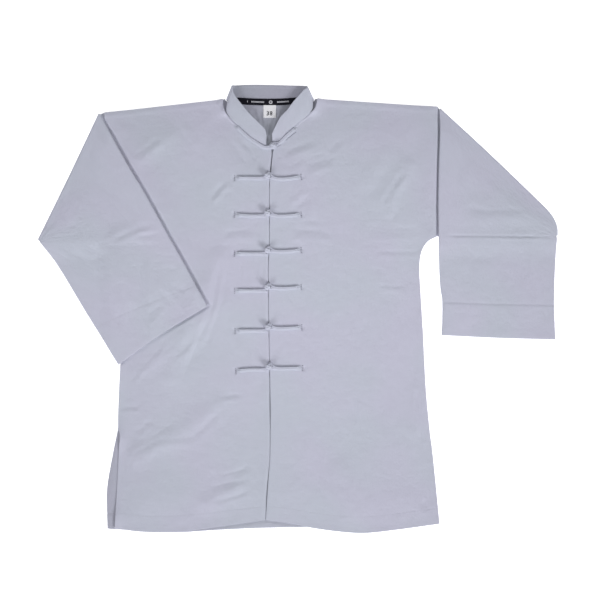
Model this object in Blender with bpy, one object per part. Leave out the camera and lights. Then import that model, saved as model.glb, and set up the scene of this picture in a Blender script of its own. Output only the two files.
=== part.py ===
"""Kung fu jacket, laid flat on its back with both sleeves folded over on top.

Seen from above, the collar points along +Y and the wearer's right side is at
-X. The surface that it lies on is z = 0. Sizes are in millimetres, and the
meshes are made in metres. Every cloth piece is a thin closed wall.
"""

import math
from collections import namedtuple

import bmesh
import bpy
from mathutils import Vector

MM = 0.001

# Cloth walls, and the clearances between pieces that touch.
CLOTH = 1.2
COLLAR_WALL = 2.0
TAPE_WALL = 1.0
SEAM_GAP = 0.3
REST_GAP = 0.5
OPENING_GAP = 1.0

# How far the fronts stand off the back, and how far in from the edge they do.
LOFT = 3.0
LOFT_REACH = 70.0
FOLD_FADE = 30.0

# A flattened sleeve: two walls with a little air between them.
SLEEVE_AIR = 0.6
SLEEVE_HEIGHT = 2 * CLOTH + SLEEVE_AIR
SLEEVE_PUFF = 2.4
NEAR_LIFT = 3.0
NEAR_SHARE = 0.3
EDGE_ROUND = 1.0
STACK_GAP = 0.4
FOLD_AXIS_HEIGHT = SLEEVE_HEIGHT + STACK_GAP / 2
SLOPE_REACH = 26.0
SLOPE_MARGIN = 14.0

# How finely the meshes are divided.
SIDE_ROWS, ARMHOLE_ROWS = 19, 8
SHOULDER_COLUMNS, NECK_COLUMNS = 8, 8
SLEEVE_COLUMNS = 10
WEDGE_RINGS, TURN_RINGS = 4, 5
UPPER_STEPS = (0.0, 0.25, 0.5, 0.75, 1.0)
LOWER_STEPS = (0.0, 0.09, 0.2, 0.36, 0.52, 0.68, 0.84, 1.0)

# The body's side edges, one row for each height above or below the middle.
SideRow = namedtuple("SideRow", "y back_left front_left right")
SIDE_TABLE = (
    SideRow(-335, -353.5, -336.8, 255.5),
    SideRow(-262, -343.0, -334.6, 248.0),
    SideRow(-228, -335.0, -333.8, 243.5),
    SideRow(-160, -331.0, -331.0, 237.0),
    SideRow(-100, -328.0, -328.0, 233.5),
    SideRow(-40, -327.5, -327.5, 230.5),
    SideRow(35, -329.0, -329.0, 226.0),
    SideRow(80, -331.0, -331.0, 224.3),
    SideRow(106, -335.0, -335.0, 228.5),
    SideRow(123, -341.0, -341.0, 239.0),
)
ARMPIT_LEFT, ARMPIT_RIGHT = (-349, 132), (256, 133)
TIP_LEFT, TIP_RIGHT = (-356, 363), (258, 372.5)
NECK_POINT_LEFT, NECK_POINT_RIGHT = (-138.5, 386.5), (35.5, 387.5)

# Hems and the centre-front opening, as x and y along each edge.
BACK_HEM = ((-351.5, -407), (-200, -409), (-120, -408), (-20, -404), (60, -404.5), (261, -397))
LEFT_HEM = (
    (-338.5, -406), (-300, -412), (-258, -414.5), (-212, -413),
    (-158, -406), (-100, -398), (-59.5, -393),
)
RIGHT_HEM = (
    (-57.5, -393), (-15, -398), (26, -406), (78, -412.5),
    (124, -415), (185, -408.5), (261.5, -398),
)
OPENING = (
    (-58.5, -393), (-52.5, -300), (-51, -243), (-51.8, -169),
    (-55.5, 16), (-55.5, 247), (-50, 302),
)

# The neck edges of the fronts, from the shoulder to the throat.
LEFT_NECK = (
    NECK_POINT_LEFT, (-138.5, 374), (-134, 361), (-123, 347), (-108, 330.6),
    (-93, 316.8), (-78, 308.4), (-65, 302.2), (-58, 300.4), (-50.6, 301.2),
)
RIGHT_NECK = (
    NECK_POINT_RIGHT, (32.6, 374), (27, 365), (13.6, 352.8), (-4, 338.8),
    (-19.8, 325), (-32.8, 310.2), (-42, 308.2), (-49.4, 302),
)
BACK_NECK = (
    (-136.2, 383), (-111, 380.8), (-83, 379), (-55, 378.3),
    (-27, 379), (-4, 380.8), (33, 383.3),
)

# The collar band, one row for each station round the neck. The seam edge is
# where it is sewn on, and the lifts are the heights of the wall's middle.
Station = namedtuple("Station", "seam_x seam_y top_x top_y seam_lift top_lift")
COLLAR_LEFT = (
    Station(-59.2, 302.5, -59.2, 319.0, 3.6, 5.0),
    Station(-64.8, 304.3, -62.0, 330.2, 3.7, 7.2),
    Station(-77.7, 309.9, -70.3, 340.4, 4.0, 9.6),
    Station(-92.5, 318.2, -85.1, 355.2, 4.3, 11.6),
    Station(-107.3, 332.1, -98.1, 370.9, 4.5, 12.8),
    Station(-122.9, 348.4, -107.6, 385.4, 4.7, 13.5),
    Station(-132.8, 365.2, -113.0, 398.2, 4.9, 13.8),
)
COLLAR_BACK = (
    Station(-133.8, 384.3, -115.3, 410.4, 1.0, 1.0),
    Station(-111.0, 381.5, -99.0, 412.9, 1.0, 1.0),
    Station(-83.0, 379.7, -78.0, 413.5, 1.0, 1.0),
    Station(-55.0, 379.0, -52.0, 413.2, 1.0, 1.0),
    Station(-27.0, 379.7, -26.0, 412.7, 1.0, 1.0),
    Station(-4.0, 381.5, -4.0, 412.0, 1.0, 1.0),
    Station(29.6, 384.3, 10.6, 410.0, 1.0, 1.0),
)
COLLAR_RIGHT = (
    Station(25.3, 367.2, 6.1, 402.8, 4.9, 13.8),
    Station(12.9, 354.3, -0.4, 391.8, 4.7, 13.5),
    Station(-4.6, 340.4, -9.3, 379.3, 4.5, 12.8),
    Station(-20.4, 326.5, -20.4, 364.5, 4.3, 11.6),
    Station(-33.3, 311.7, -31.5, 353.4, 4.0, 9.6),
    Station(-41.6, 309.6, -41.2, 335.8, 3.7, 7.2),
    Station(-47.4, 309.2, -48.1, 322.0, 3.6, 5.0),
)
COLLAR_FOLD_SEAM_RADIUS, COLLAR_FOLD_TOP_RADIUS = 2.0, 6.4
COLLAR_FOLD_ANGLES = (0, 45, 90, 135, 180)
COLLAR_HEIGHT_STEPS = (0.0, 0.5, 1.0)

# The tape over the back neck seam, and the label below it.
TAPE_LEFT, TAPE_RIGHT = -119.0, 4.0
TAPE_STEPS = 8
TAPE_ABOVE, TAPE_BELOW = 10.0, 2.6
LABEL_CENTRE_X, LABEL_TOP, LABEL_WIDTH, LABEL_DROP = -52.2, 375.6, 23.0, 23.0

# One row for each sleeve: its lines on the plan, near edge to far edge. The
# near edge continues the shoulder, and the far edge is the underarm seam.
SleevePlan = namedtuple(
    "SleevePlan",
    "name armhole fold ridge cuff upper_near upper_far lower_near lower_far",
)
SLEEVE_PLANS = (
    SleevePlan(
        name="sleeve_right",
        armhole=(TIP_LEFT, ARMPIT_LEFT),
        fold=((-363.4, 360.3), (-420.5, 242.8), (-478.1, 125.3)),
        ridge=((-236, 129), (-475.4, 121)),
        cuff=((-166.8, 4.8), (-250, -45.5), (-332, -103.5)),
        upper_near=((-363.4, 360.3), (-312.7, 263), (-284.3, 216), (-236, 129)),
        upper_far=((-478.1, 125.3), (-475.4, 121)),
        lower_near=((-236, 129), (-208.3, 80.5), (-191.5, 49), (-166.8, 4.8)),
        lower_far=((-475.4, 121), (-446, 82.3), (-392.2, -6.5), (-364.5, -51), (-332, -103.5)),
    ),
    SleevePlan(
        name="sleeve_left",
        armhole=(TIP_RIGHT, ARMPIT_RIGHT),
        fold=((260.5, 367.7), (343.8, 290.9), (436.3, 202.1), (465, 172.5), (475.5, 152), (476.8, 134.5)),
        ridge=((259.3, 128.5), (478.3, 129)),
        cuff=((264.5, -48.5), (370, -53.5), (476, -56.5)),
        upper_near=((260.5, 367.7), (262, 340), (259.7, 257), (258.8, 190), (259.3, 128.5)),
        upper_far=((476.8, 134.5), (478.3, 129)),
        lower_near=((259.3, 128.5), (260, 90), (262.7, 38), (266, 15.7), (266, -25), (264.5, -48.5)),
        lower_far=((478.3, 129), (475.5, 82), (473.8, 38), (473.8, -6), (475, -40), (476, -56.5)),
    ),
)

# The largest folds: each a soft ridge along a line from one point to another.
Fold = namedtuple("Fold", "x1 y1 x2 y2 width height")
BODY_FOLDS = (
    Fold(-150, 92, -196, -20, 17, 2.2),
    Fold(-196, -20, -236, -128, 17, 1.8),
    Fold(-306, -274, -232, -240, 19, 2.4),
    Fold(-232, -240, -150, -180, 19, 2.0),
    Fold(-292, 280, -240, 318, 18, 1.8),
    Fold(158, 200, 200, 262, 18, 2.0),
    Fold(128, 236, 160, 282, 18, 1.2),
    Fold(222, -150, 222, -225, 14, 1.8),
    Fold(80, -300, 100, -372, 20, 1.8),
    Fold(-170, -362, -104, -338, 16, 1.6),
)
SLEEVE_FOLDS = (
    Fold(-340, 128, -252, 164, 15, 2.0),
    Fold(-334, 100, -318, 10, 18, 2.2),
    Fold(-436, 96, -396, 60, 16, 1.4),
    Fold(-248, 40, -220, 10, 14, 1.4),
    Fold(300, 182, 420, 182, 20, 1.6),
    Fold(430, 96, 440, 10, 24, 1.4),
    Fold(310, 70, 300, -20, 26, 1.2),
)

# The frogs on the opening: the heights of their knot half and loop half, and
# how much higher the outer end of each half lies.
FrogRow = namedtuple("FrogRow", "name knot_y loop_y knot_rise loop_rise")
FROG_TABLE = (
    FrogRow("frog_2", 239.2, 239.2, 1.6, 3.6),
    FrogRow("frog_3", 169.8, 170.8, 3.6, 2.4),
    FrogRow("frog_4", 99.9, 105.1, 1.6, 2.4),
    FrogRow("frog_5", 31.6, 37.2, 1.4, 2.0),
    FrogRow("frog_6", -42.2, -36.6, 0.8, 1.6),
    FrogRow("frog_7", -114.1, -110.6, -1.2, 0.6),
)
NECK_FROG_CENTRE = (-46.0, 299.2)
NECK_FROG_LEFT = (NECK_FROG_CENTRE, (-60.0, 294.8), (-76.0, 299.8), (-92.0, 309.2), (-108.5, 322.8))
NECK_FROG_RIGHT = (NECK_FROG_CENTRE, (-33.0, 303.2), (-19.0, 316.6), (-4.0, 331.0))
FROG_HALF_LENGTH = 61.0
CORD_RADIUS = 1.75
CORD_PITCH = 2 * CORD_RADIUS + SEAM_GAP
CORD_SIDES = 6
BALL_RADIUS = 4.0
BALL_LIFT = 6.3
LOOP_REACH, LOOP_HALF_WIDTH = 6.2, 5.7
LOOP_RISE = 3.9
EYE_RADIUS = 2.6
KNOT_START, LOOP_START = 1.5, 12.0
BALL_SEGMENTS, BALL_RINGS = 10, 7

# Colour in linear red, green and blue, and roughness.
MATERIALS = {
    "grey_cotton": ((0.50, 0.515, 0.60), 0.85),
    "black_tape": ((0.012, 0.012, 0.018), 0.6),
    "white_label": ((0.74, 0.74, 0.78), 0.7),
}


def flat(point):
    return Vector((point[0], point[1]))


def smooth(value):
    """Nought to one with soft ends."""
    value = min(1.0, max(0.0, value))
    return value * value * (3.0 - 2.0 * value)


def toward(start, goal, distance):
    """The point that lies a distance from start on the way to goal."""
    return start + (goal - start).normalized() * distance


def spaced(points, steps):
    """steps + 1 points at even spacing along a polyline."""
    lengths = [(b - a).length for a, b in zip(points, points[1:])]
    total = sum(lengths)
    result = []
    for step in range(steps + 1):
        left = total * step / steps
        index = 0
        while index < len(lengths) - 1 and left > lengths[index]:
            left -= lengths[index]
            index += 1
        share = left / lengths[index]
        result.append(points[index].lerp(points[index + 1], min(share, 1.0)))
    return result


def curve(points, steps, samples=8):
    """steps + 1 even points on a smooth curve through the given points."""
    knots = [Vector(point) for point in points]
    if len(knots) == 2:
        return spaced(knots, steps)
    padded = [2 * knots[0] - knots[1]] + knots + [2 * knots[-1] - knots[-2]]
    dense = [knots[0]]
    for before, start, end, after in zip(padded, padded[1:], padded[2:], padded[3:]):
        span = (end - start).length
        into = (end - before) * (span / ((end - before).length or 1.0))
        out = (after - start) * (span / ((after - start).length or 1.0))
        for sample in range(1, samples + 1):
            t = sample / samples
            a = (2 * t ** 3 - 3 * t ** 2 + 1) * start + (t ** 3 - 2 * t ** 2 + t) * into
            b = (3 * t ** 2 - 2 * t ** 3) * end + (t ** 3 - t ** 2) * out
            dense.append(a + b)
    return spaced(dense, steps)


def patch(bottom, top, left, right):
    """Rows of points inside four edges that meet at their corners."""
    rows = []
    for i, (start, end) in enumerate(zip(left, right)):
        v = i / (len(left) - 1)
        row = []
        for j, (low, high) in enumerate(zip(bottom, top)):
            u = j / (len(bottom) - 1)
            corners = (1 - v) * ((1 - u) * bottom[0] + u * bottom[-1])
            corners += v * ((1 - u) * top[0] + u * top[-1])
            row.append((1 - v) * low + v * high + (1 - u) * start + u * end - corners)
        rows.append(row)
    return rows


def distance_inside(point, outline):
    """Distance to a closed outline: positive inside it, negative outside."""
    nearest = math.inf
    inside = False
    for a, b in zip(outline, outline[1:] + outline[:1]):
        along = b - a
        share = min(1.0, max(0.0, (point - a).dot(along) / along.length_squared))
        nearest = min(nearest, (point - a - along * share).length)
        if (a.y > point.y) != (b.y > point.y):
            if point.x < a.x + (point.y - a.y) / (b.y - a.y) * (b.x - a.x):
                inside = not inside
    return nearest if inside else -nearest


def fold_height(point, folds):
    """Height of the soft ridges at a point of the plan."""
    total = 0.0
    for fold in folds:
        start, end = Vector((fold.x1, fold.y1)), Vector((fold.x2, fold.y2))
        along = end - start
        share = min(1.0, max(0.0, (point - start).dot(along) / along.length_squared))
        away = (point - start - along * share).length
        total = max(total, fold.height * math.exp(-(away / fold.width) ** 2))
    return total


def side_edge(column, hem_corner, armpit, tip):
    """The points of one side of a panel, from its hem to the shoulder tip."""
    rows = [Vector((getattr(row, column), row.y)) for row in SIDE_TABLE]
    lower = curve([flat(hem_corner)] + rows + [flat(armpit)], SIDE_ROWS)
    upper = curve([flat(armpit), flat(tip)], ARMHOLE_ROWS)
    return lower + upper[1:]


def body_outline():
    """The closed outline of the two fronts together."""
    left = side_edge("front_left", LEFT_HEM[0], ARMPIT_LEFT, TIP_LEFT)
    right = side_edge("right", RIGHT_HEM[-1], ARMPIT_RIGHT, TIP_RIGHT)
    hem = [flat(point) for point in LEFT_HEM + RIGHT_HEM]
    neck = [flat(point) for point in LEFT_NECK + RIGHT_NECK[::-1]]
    return left + neck + right[::-1] + hem[::-1][1:-1]


BODY_OUTLINE = body_outline()


def front_underside(point):
    """Height of a front's underside above the surface."""
    inside = max(0.0, distance_inside(point, BODY_OUTLINE))
    lift = LOFT * smooth(inside / LOFT_REACH)
    lift += fold_height(point, BODY_FOLDS) * smooth(inside / FOLD_FADE)
    return CLOTH + SEAM_GAP + lift


def front_top(point):
    return front_underside(point) + CLOTH


def new_object(name, vertices, faces, material, smooth_angle=50):
    """A named mesh object with outward faces, from millimetre points."""
    mesh = bpy.data.meshes.new(name)
    mesh.from_pydata([Vector(vertex) * MM for vertex in vertices], [], faces)
    work = bmesh.new()
    work.from_mesh(mesh)
    bmesh.ops.recalc_face_normals(work, faces=work.faces)
    work.to_mesh(mesh)
    work.free()
    mesh.shade_smooth()
    mesh.set_sharp_from_angle(angle=math.radians(smooth_angle))
    mesh.materials.append(material)
    result = bpy.data.objects.new(name, mesh)
    bpy.context.collection.objects.link(result)
    return result


def wall(name, rows, underside, thickness, material):
    """A cloth wall over rows of plan points, at the underside's height."""
    columns = len(rows[0])
    points = [point for row in rows for point in row]
    low = [(point.x, point.y, underside(point)) for point in points]
    high = [(x, y, z + thickness) for x, y, z in low]
    count = len(points)
    faces = []
    for i in range(len(rows) - 1):
        for j in range(columns - 1):
            a = i * columns + j
            b, c, d = a + 1, a + columns + 1, a + columns
            faces.append((a, d, c, b))
            faces.append((a + count, b + count, c + count, d + count))
    rim = list(range(columns - 1))
    rim += [i * columns + columns - 1 for i in range(len(rows) - 1)]
    rim += [count - 1 - j for j in range(columns - 1)]
    rim += [i * columns for i in range(len(rows) - 1, 0, -1)]
    for a, b in zip(rim, rim[1:] + rim[:1]):
        faces.append((a, b, b + count, a + count))
    return new_object(name, low + high, faces, material)


def tube_faces(rings, loop, closed):
    """Quads between successive loops of points."""
    faces = []
    last = rings if closed else rings - 1
    for i in range(last):
        for j in range(loop):
            a, b = i * loop + j, i * loop + (j + 1) % loop
            c, d = ((i + 1) % rings) * loop + (j + 1) % loop, ((i + 1) % rings) * loop + j
            faces.append((a, b, c, d))
    return faces


def back_panel(material):
    left = side_edge("back_left", BACK_HEM[0], ARMPIT_LEFT, TIP_LEFT)
    right = side_edge("right", BACK_HEM[-1], ARMPIT_RIGHT, TIP_RIGHT)
    shoulder_left = curve([flat(TIP_LEFT), flat(NECK_POINT_LEFT)], SHOULDER_COLUMNS)
    shoulder_right = curve([flat(NECK_POINT_RIGHT), flat(TIP_RIGHT)], SHOULDER_COLUMNS)
    neck = [flat(point) for point in BACK_NECK]
    top = shoulder_left + neck + shoulder_right
    bottom = curve([flat(point) for point in BACK_HEM], len(top) - 1)
    wall("back_panel", patch(bottom, top, left, right), lambda point: 0.0, CLOTH, material)


def front_panel(name, column, hem, neck, armpit, tip, side, material):
    """One front, from its side seam to the opening; side is -1 or 1."""
    outer_corner = hem[0] if side < 0 else hem[-1]
    outer = side_edge(column, outer_corner, armpit, tip)
    half_gap = Vector((side * OPENING_GAP / 2, 0))
    inner = curve([flat(point) + half_gap for point in OPENING], len(outer) - 1)
    shoulder = curve([flat(tip), flat(neck[0])], SHOULDER_COLUMNS)
    neck_points = [flat(point) for point in neck[:-1]] + [inner[-1]]
    top = shoulder + curve(neck_points, NECK_COLUMNS)[1:]
    hem_points = [flat(point) for point in hem]
    if side > 0:
        hem_points.reverse()
    hem_points[-1] = inner[0]
    bottom = curve(hem_points, len(top) - 1)
    wall(name, patch(bottom, top, outer, inner), front_underside, CLOTH, material)


def sleeve_loop(line, inset, low, high):
    """One loop round a flattened tube, as (index on the line, point, height)."""
    last = len(line) - 1
    middle = (low + high) / 2
    near = toward(line[0], line[1], inset)
    near_in = toward(line[0], line[1], inset + EDGE_ROUND)
    far = toward(line[last], line[last - 1], inset)
    far_in = toward(line[last], line[last - 1], inset + EDGE_ROUND)
    inner = range(1, last)
    loop = [(0, near, middle), (0, near_in, high)]
    loop += [(j, line[j], high) for j in inner]
    loop += [(last, far_in, high), (last, far, middle), (last, far_in, low)]
    loop += [(j, line[j], low) for j in reversed(inner)]
    loop.append((0, near_in, low))
    return loop


def outward_normals(line, away_from):
    """Unit normals along a line, pointing away from a point."""
    normals = []
    for j in range(len(line)):
        along = line[min(j + 1, len(line) - 1)] - line[max(j - 1, 0)]
        normal = Vector((along.y, -along.x)).normalized()
        if normal.dot(line[j] - away_from) < 0:
            normal.negate()
        normals.append(normal)
    return normals


def sleeve_support(point, wedge):
    """Height at which a folded-over sleeve lies on its own start and the body."""
    under_wedge = distance_inside(point, wedge) + SLOPE_MARGIN / 2
    height = (SLEEVE_HEIGHT + STACK_GAP) * smooth(1 + under_wedge / SLOPE_MARGIN)
    inside_body = distance_inside(point, BODY_OUTLINE)
    if inside_body > -SLOPE_REACH - SLOPE_MARGIN:
        around = [point + Vector(step) for step in ((0, 0), (9, 0), (-9, 0), (0, 9), (0, -9))]
        body = max(front_top(place) for place in around) + STACK_GAP
        body *= smooth(1 + (inside_body + SLOPE_MARGIN) / SLOPE_REACH)
        height = max(height, body)
    return height


def sleeve_rings(plan):
    """Every ring of a sleeve, as a function from a loop point to a place."""
    columns = SLEEVE_COLUMNS
    armhole = curve([flat(point) for point in plan.armhole], columns)
    outward = (flat(plan.fold[1]) - armhole[columns // 2]).normalized()
    armhole = [point + outward * SEAM_GAP for point in armhole]
    fold = curve([flat(point) for point in plan.fold], columns)
    wedge_near = spaced([armhole[0], fold[0]], WEDGE_RINGS)
    wedge_far = spaced([armhole[-1], fold[-1]], WEDGE_RINGS)
    wedge_lines = patch(armhole, fold, wedge_near, wedge_far)
    wedge_outline = armhole + fold[::-1]
    normals = outward_normals(fold, armhole[columns // 2])

    def on_surface(j, point, height):
        return Vector((point.x, point.y, height))

    def round_fold(angle):
        def place(j, point, height):
            radius = FOLD_AXIS_HEIGHT - height
            out = point + normals[j] * radius * math.sin(angle)
            return Vector((out.x, out.y, FOLD_AXIS_HEIGHT - radius * math.cos(angle)))
        return place

    def on_top(share):
        def place(j, point, height):
            z = sleeve_support(point, wedge_outline) + SLEEVE_HEIGHT - height
            z += share * NEAR_LIFT * smooth(1 - j / (columns * NEAR_SHARE))
            if height < SLEEVE_HEIGHT / 2:
                across = math.sin(math.pi * j / columns)
                z += share * (SLEEVE_PUFF * across + across * fold_height(point, SLEEVE_FOLDS))
            return Vector((point.x, point.y, z))
        return place

    rings = [(line, on_surface) for line in wedge_lines]
    for step in range(1, TURN_RINGS):
        rings.append((fold, round_fold(math.pi * step / TURN_RINGS)))
    ridge = curve([flat(point) for point in plan.ridge], columns)
    cuff = curve([flat(point) for point in plan.cuff], columns)
    stretches = (
        (fold, ridge, plan.upper_near, plan.upper_far, UPPER_STEPS),
        (ridge, cuff, plan.lower_near, plan.lower_far, LOWER_STEPS),
    )
    for start, end, near_edge, far_edge, steps in stretches:
        near = curve([flat(point) for point in near_edge], 100)
        far = curve([flat(point) for point in far_edge], 100)
        lines = patch(start, end, near, far)
        first = 0 if start is fold else 1
        for step in steps[first:]:
            share = step if start is fold else 1.0
            rings.append((lines[round(step * 100)], on_top(smooth(2 * share))))
    return rings


def sleeve(plan, material):
    rings = sleeve_rings(plan)
    vertices = []
    for inset, low, high in ((0.0, 0.0, SLEEVE_HEIGHT), (CLOTH, CLOTH, SLEEVE_HEIGHT - CLOTH)):
        for line, place in rings:
            for j, point, height in sleeve_loop(line, inset, low, high):
                vertices.append(place(j, point, height))
    loop = 2 * (SLEEVE_COLUMNS - 1) + 6
    count = len(rings) * loop
    outer = tube_faces(len(rings), loop, closed=False)
    faces = list(outer)
    faces += [tuple(index + count for index in reversed(face)) for face in outer]
    for ring in (0, len(rings) - 1):
        for j in range(loop):
            a, b = ring * loop + j, ring * loop + (j + 1) % loop
            faces.append((a, b, b + count, a + count))
    new_object(plan.name, vertices, faces, material)


def collar_section(station):
    """The wall's middle line at one station, and its thickness direction."""
    seam = Vector((station.seam_x, station.seam_y, station.seam_lift))
    top = Vector((station.top_x, station.top_y, station.top_lift))
    return [(seam.lerp(top, share), Vector((0, 0, 1))) for share in COLLAR_HEIGHT_STEPS]


def collar_fold(station, side):
    """The sections where the band turns over at one side of the neck."""
    seam = Vector((station.seam_x, station.seam_y, 0))
    top = Vector((station.top_x, station.top_y, 0))
    along = (top - seam).normalized()
    outward = Vector((-along.y, along.x, 0)) * -side
    sections = []
    for degrees in COLLAR_FOLD_ANGLES:
        angle = math.radians(degrees)
        section = []
        for share in COLLAR_HEIGHT_STEPS:
            radius = COLLAR_FOLD_SEAM_RADIUS * (1 - share) + COLLAR_FOLD_TOP_RADIUS * share
            base = seam.lerp(top, share)
            facing = outward * math.sin(angle) - Vector((0, 0, 1)) * math.cos(angle)
            centre = base + Vector((0, 0, COLLAR_WALL / 2 + radius))
            section.append((centre + facing * radius, -facing))
        sections.append(section)
    return sections


def collar(material):
    """The band: left front end, left fold, back, right fold, right front end."""
    sections = [[(place, -up) for place, up in collar_section(row)] for row in COLLAR_LEFT]
    sections += reversed(collar_fold(COLLAR_BACK[0], -1))
    sections += [collar_section(row) for row in COLLAR_BACK[1:-1]]
    sections += collar_fold(COLLAR_BACK[-1], 1)
    sections += [[(place, -up) for place, up in collar_section(row)] for row in COLLAR_RIGHT]
    half = COLLAR_WALL / 2
    vertices = []
    for section in sections:
        vertices += [place - inward * half for place, inward in section]
        vertices += [place + inward * half for place, inward in reversed(section)]
    loop = 2 * len(COLLAR_HEIGHT_STEPS)
    faces = tube_faces(len(sections), loop, closed=False)
    for ring in (0, len(sections) - 1):
        start = ring * loop
        steps = len(COLLAR_HEIGHT_STEPS) - 1
        for j in range(steps):
            faces.append((start + j, start + j + 1, start + loop - 2 - j, start + loop - 1 - j))
    new_object("collar", vertices, faces, material, smooth_angle=40)


def neck_tape(material):
    """A woven tape that steps down from the collar band to the back panel."""
    seam = curve([flat(point) for point in BACK_NECK], 60)
    over_collar = COLLAR_WALL + SEAM_GAP
    over_back = CLOTH + SEAM_GAP
    section = (
        (TAPE_ABOVE, over_collar),
        (0.3, over_collar),
        (-1.3, over_back),
        (-TAPE_BELOW, over_back),
    )
    vertices = []
    for step in range(TAPE_STEPS + 1):
        x = TAPE_LEFT + (TAPE_RIGHT - TAPE_LEFT) * step / TAPE_STEPS
        y = min(seam, key=lambda point: abs(point.x - x)).y
        vertices += [(x, y + offset, z) for offset, z in section]
        vertices += [(x, y + offset, z + TAPE_WALL) for offset, z in reversed(section)]
    loop = 2 * len(section)
    faces = tube_faces(TAPE_STEPS + 1, loop, closed=False)
    for start in (0, TAPE_STEPS * loop):
        for j in range(len(section) - 1):
            faces.append((start + j, start + j + 1, start + loop - 2 - j, start + loop - 1 - j))
    new_object("neck_tape", vertices, faces, material, smooth_angle=20)


def size_label(material):
    left = LABEL_CENTRE_X - LABEL_WIDTH / 2
    top = LABEL_TOP
    corner = Vector((left, top - LABEL_DROP))
    across = Vector((LABEL_WIDTH, 0))
    down = Vector((0, LABEL_DROP))
    rows = [[corner, corner + across], [corner + down, corner + down + across]]
    wall("size_label", rows, lambda point: CLOTH + SEAM_GAP, TAPE_WALL, material)


def cord(path, closed):
    """Vertices and faces of a six-sided cord along a path of 3-D points."""
    vertices = []
    count = len(path)
    for i, place in enumerate(path):
        before = path[i - 1] if closed or i > 0 else place
        after = path[(i + 1) % count] if closed or i < count - 1 else place
        along = (after - before).normalized()
        across = along.cross(Vector((0, 0, 1))).normalized()
        up = across.cross(along)
        for side in range(CORD_SIDES):
            angle = 2 * math.pi * side / CORD_SIDES
            vertices.append(place + CORD_RADIUS * (across * math.cos(angle) + up * math.sin(angle)))
    faces = tube_faces(count, CORD_SIDES, closed)
    if not closed:
        faces.append(tuple(range(CORD_SIDES)))
        faces.append(tuple(range(len(vertices) - CORD_SIDES, len(vertices))))
    return vertices, faces


def laid(point, height):
    """A place at a height above the fronts."""
    return Vector((point.x, point.y, front_top(point) + REST_GAP + height))


def bar_points(route, start_distance):
    """Both cords of a frog's bar from its middle out, round its end, and back.

    The route runs from the frog's middle to its outer end. The result is a
    list of plan points, which begins and ends at start_distance.
    """
    line = curve([flat(point) for point in route], 60)
    length = sum((b - a).length for a, b in zip(line, line[1:]))

    def at(distance, offset):
        share = min(1.0, distance / length) * 60
        index = min(59, int(share))
        place = line[index].lerp(line[index + 1], share - index)
        along = (line[index + 1] - line[index]).normalized()
        return place + Vector((-along.y, along.x)) * offset

    half = CORD_PITCH / 2
    eye = length - EYE_RADIUS - CORD_RADIUS
    stops = [start_distance + (eye - 6 - start_distance) * step / 3 for step in range(4)]
    out = [at(stop, half) for stop in stops]
    back = [at(stop, -half) for stop in reversed(stops)]
    turn = []
    for step in range(5):
        angle = math.pi * (0.5 - step / 4)
        turn.append(at(eye + EYE_RADIUS * math.cos(angle), EYE_RADIUS * math.sin(angle)))
    return out + turn + back


def knot_half(name, route, material):
    """A doubled cord that ends in a ball knot over the opening."""
    points = bar_points(route, KNOT_START)
    vertices, faces = cord([laid(point, CORD_RADIUS) for point in points], closed=False)
    half = new_object(name, vertices, faces, material)
    ball_mesh = bpy.data.meshes.new(name + "_ball")
    work = bmesh.new()
    bmesh.ops.create_uvsphere(
        work, u_segments=BALL_SEGMENTS, v_segments=BALL_RINGS, radius=BALL_RADIUS * MM
    )
    bmesh.ops.translate(work, vec=laid(flat(route[0]), BALL_LIFT) * MM, verts=work.verts)
    work.to_mesh(ball_mesh)
    work.free()
    ball = bpy.data.objects.new(name + "_ball", ball_mesh)
    bpy.context.collection.objects.link(ball)
    union = half.modifiers.new("Ball", "BOOLEAN")
    union.operation = "UNION"
    union.object = ball
    ball.hide_render = True
    ball.display_type = "WIRE"


def loop_half(name, route, material):
    """A doubled cord that opens into a loop round the ball knot."""
    centre = flat(route[0])
    ahead = (flat(route[1]) - centre).normalized()
    aside = Vector((-ahead.y, ahead.x))
    points = [laid(point, CORD_RADIUS) for point in bar_points(route, LOOP_START)]
    for step in range(9):
        angle = math.radians(-40 - 35 * step)
        out = centre + ahead * LOOP_REACH * math.cos(angle) + aside * LOOP_HALF_WIDTH * math.sin(angle)
        rise = LOOP_RISE * (1 - math.cos(angle)) / 2
        points.append(laid(out, CORD_RADIUS + rise))
    vertices, faces = cord(points, closed=True)
    new_object(name, vertices, faces, material)


def frog_route(x, y, side, bar_y, rise):
    """The middle line of one half, from the opening to its outer end."""
    return (
        (x, y),
        (x + side * FROG_HALF_LENGTH * 0.25, bar_y),
        (x + side * FROG_HALF_LENGTH * 0.6, bar_y),
        (x + side * FROG_HALF_LENGTH, bar_y + rise),
    )


def frogs(material):
    knot_half("frog_1_knot", NECK_FROG_LEFT, material)
    loop_half("frog_1_loop", NECK_FROG_RIGHT, material)
    opening = curve([flat(point) for point in OPENING], 60)
    for row in FROG_TABLE:
        y = (row.knot_y + row.loop_y) / 2 + 1.0
        x = min(opening, key=lambda point: abs(point.y - y)).x
        knot_half(row.name + "_knot", frog_route(x, y, -1, row.knot_y, row.knot_rise), material)
        loop_half(row.name + "_loop", frog_route(x, y, 1, row.loop_y, row.loop_rise), material)


def make_material(name, colour, roughness):
    material = bpy.data.materials.new(name)
    material.use_nodes = True
    shader = material.node_tree.nodes["Principled BSDF"]
    shader.inputs["Base Color"].default_value = (*colour, 1.0)
    shader.inputs["Roughness"].default_value = roughness
    shader.inputs["Metallic"].default_value = 0.0
    return material


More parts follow.
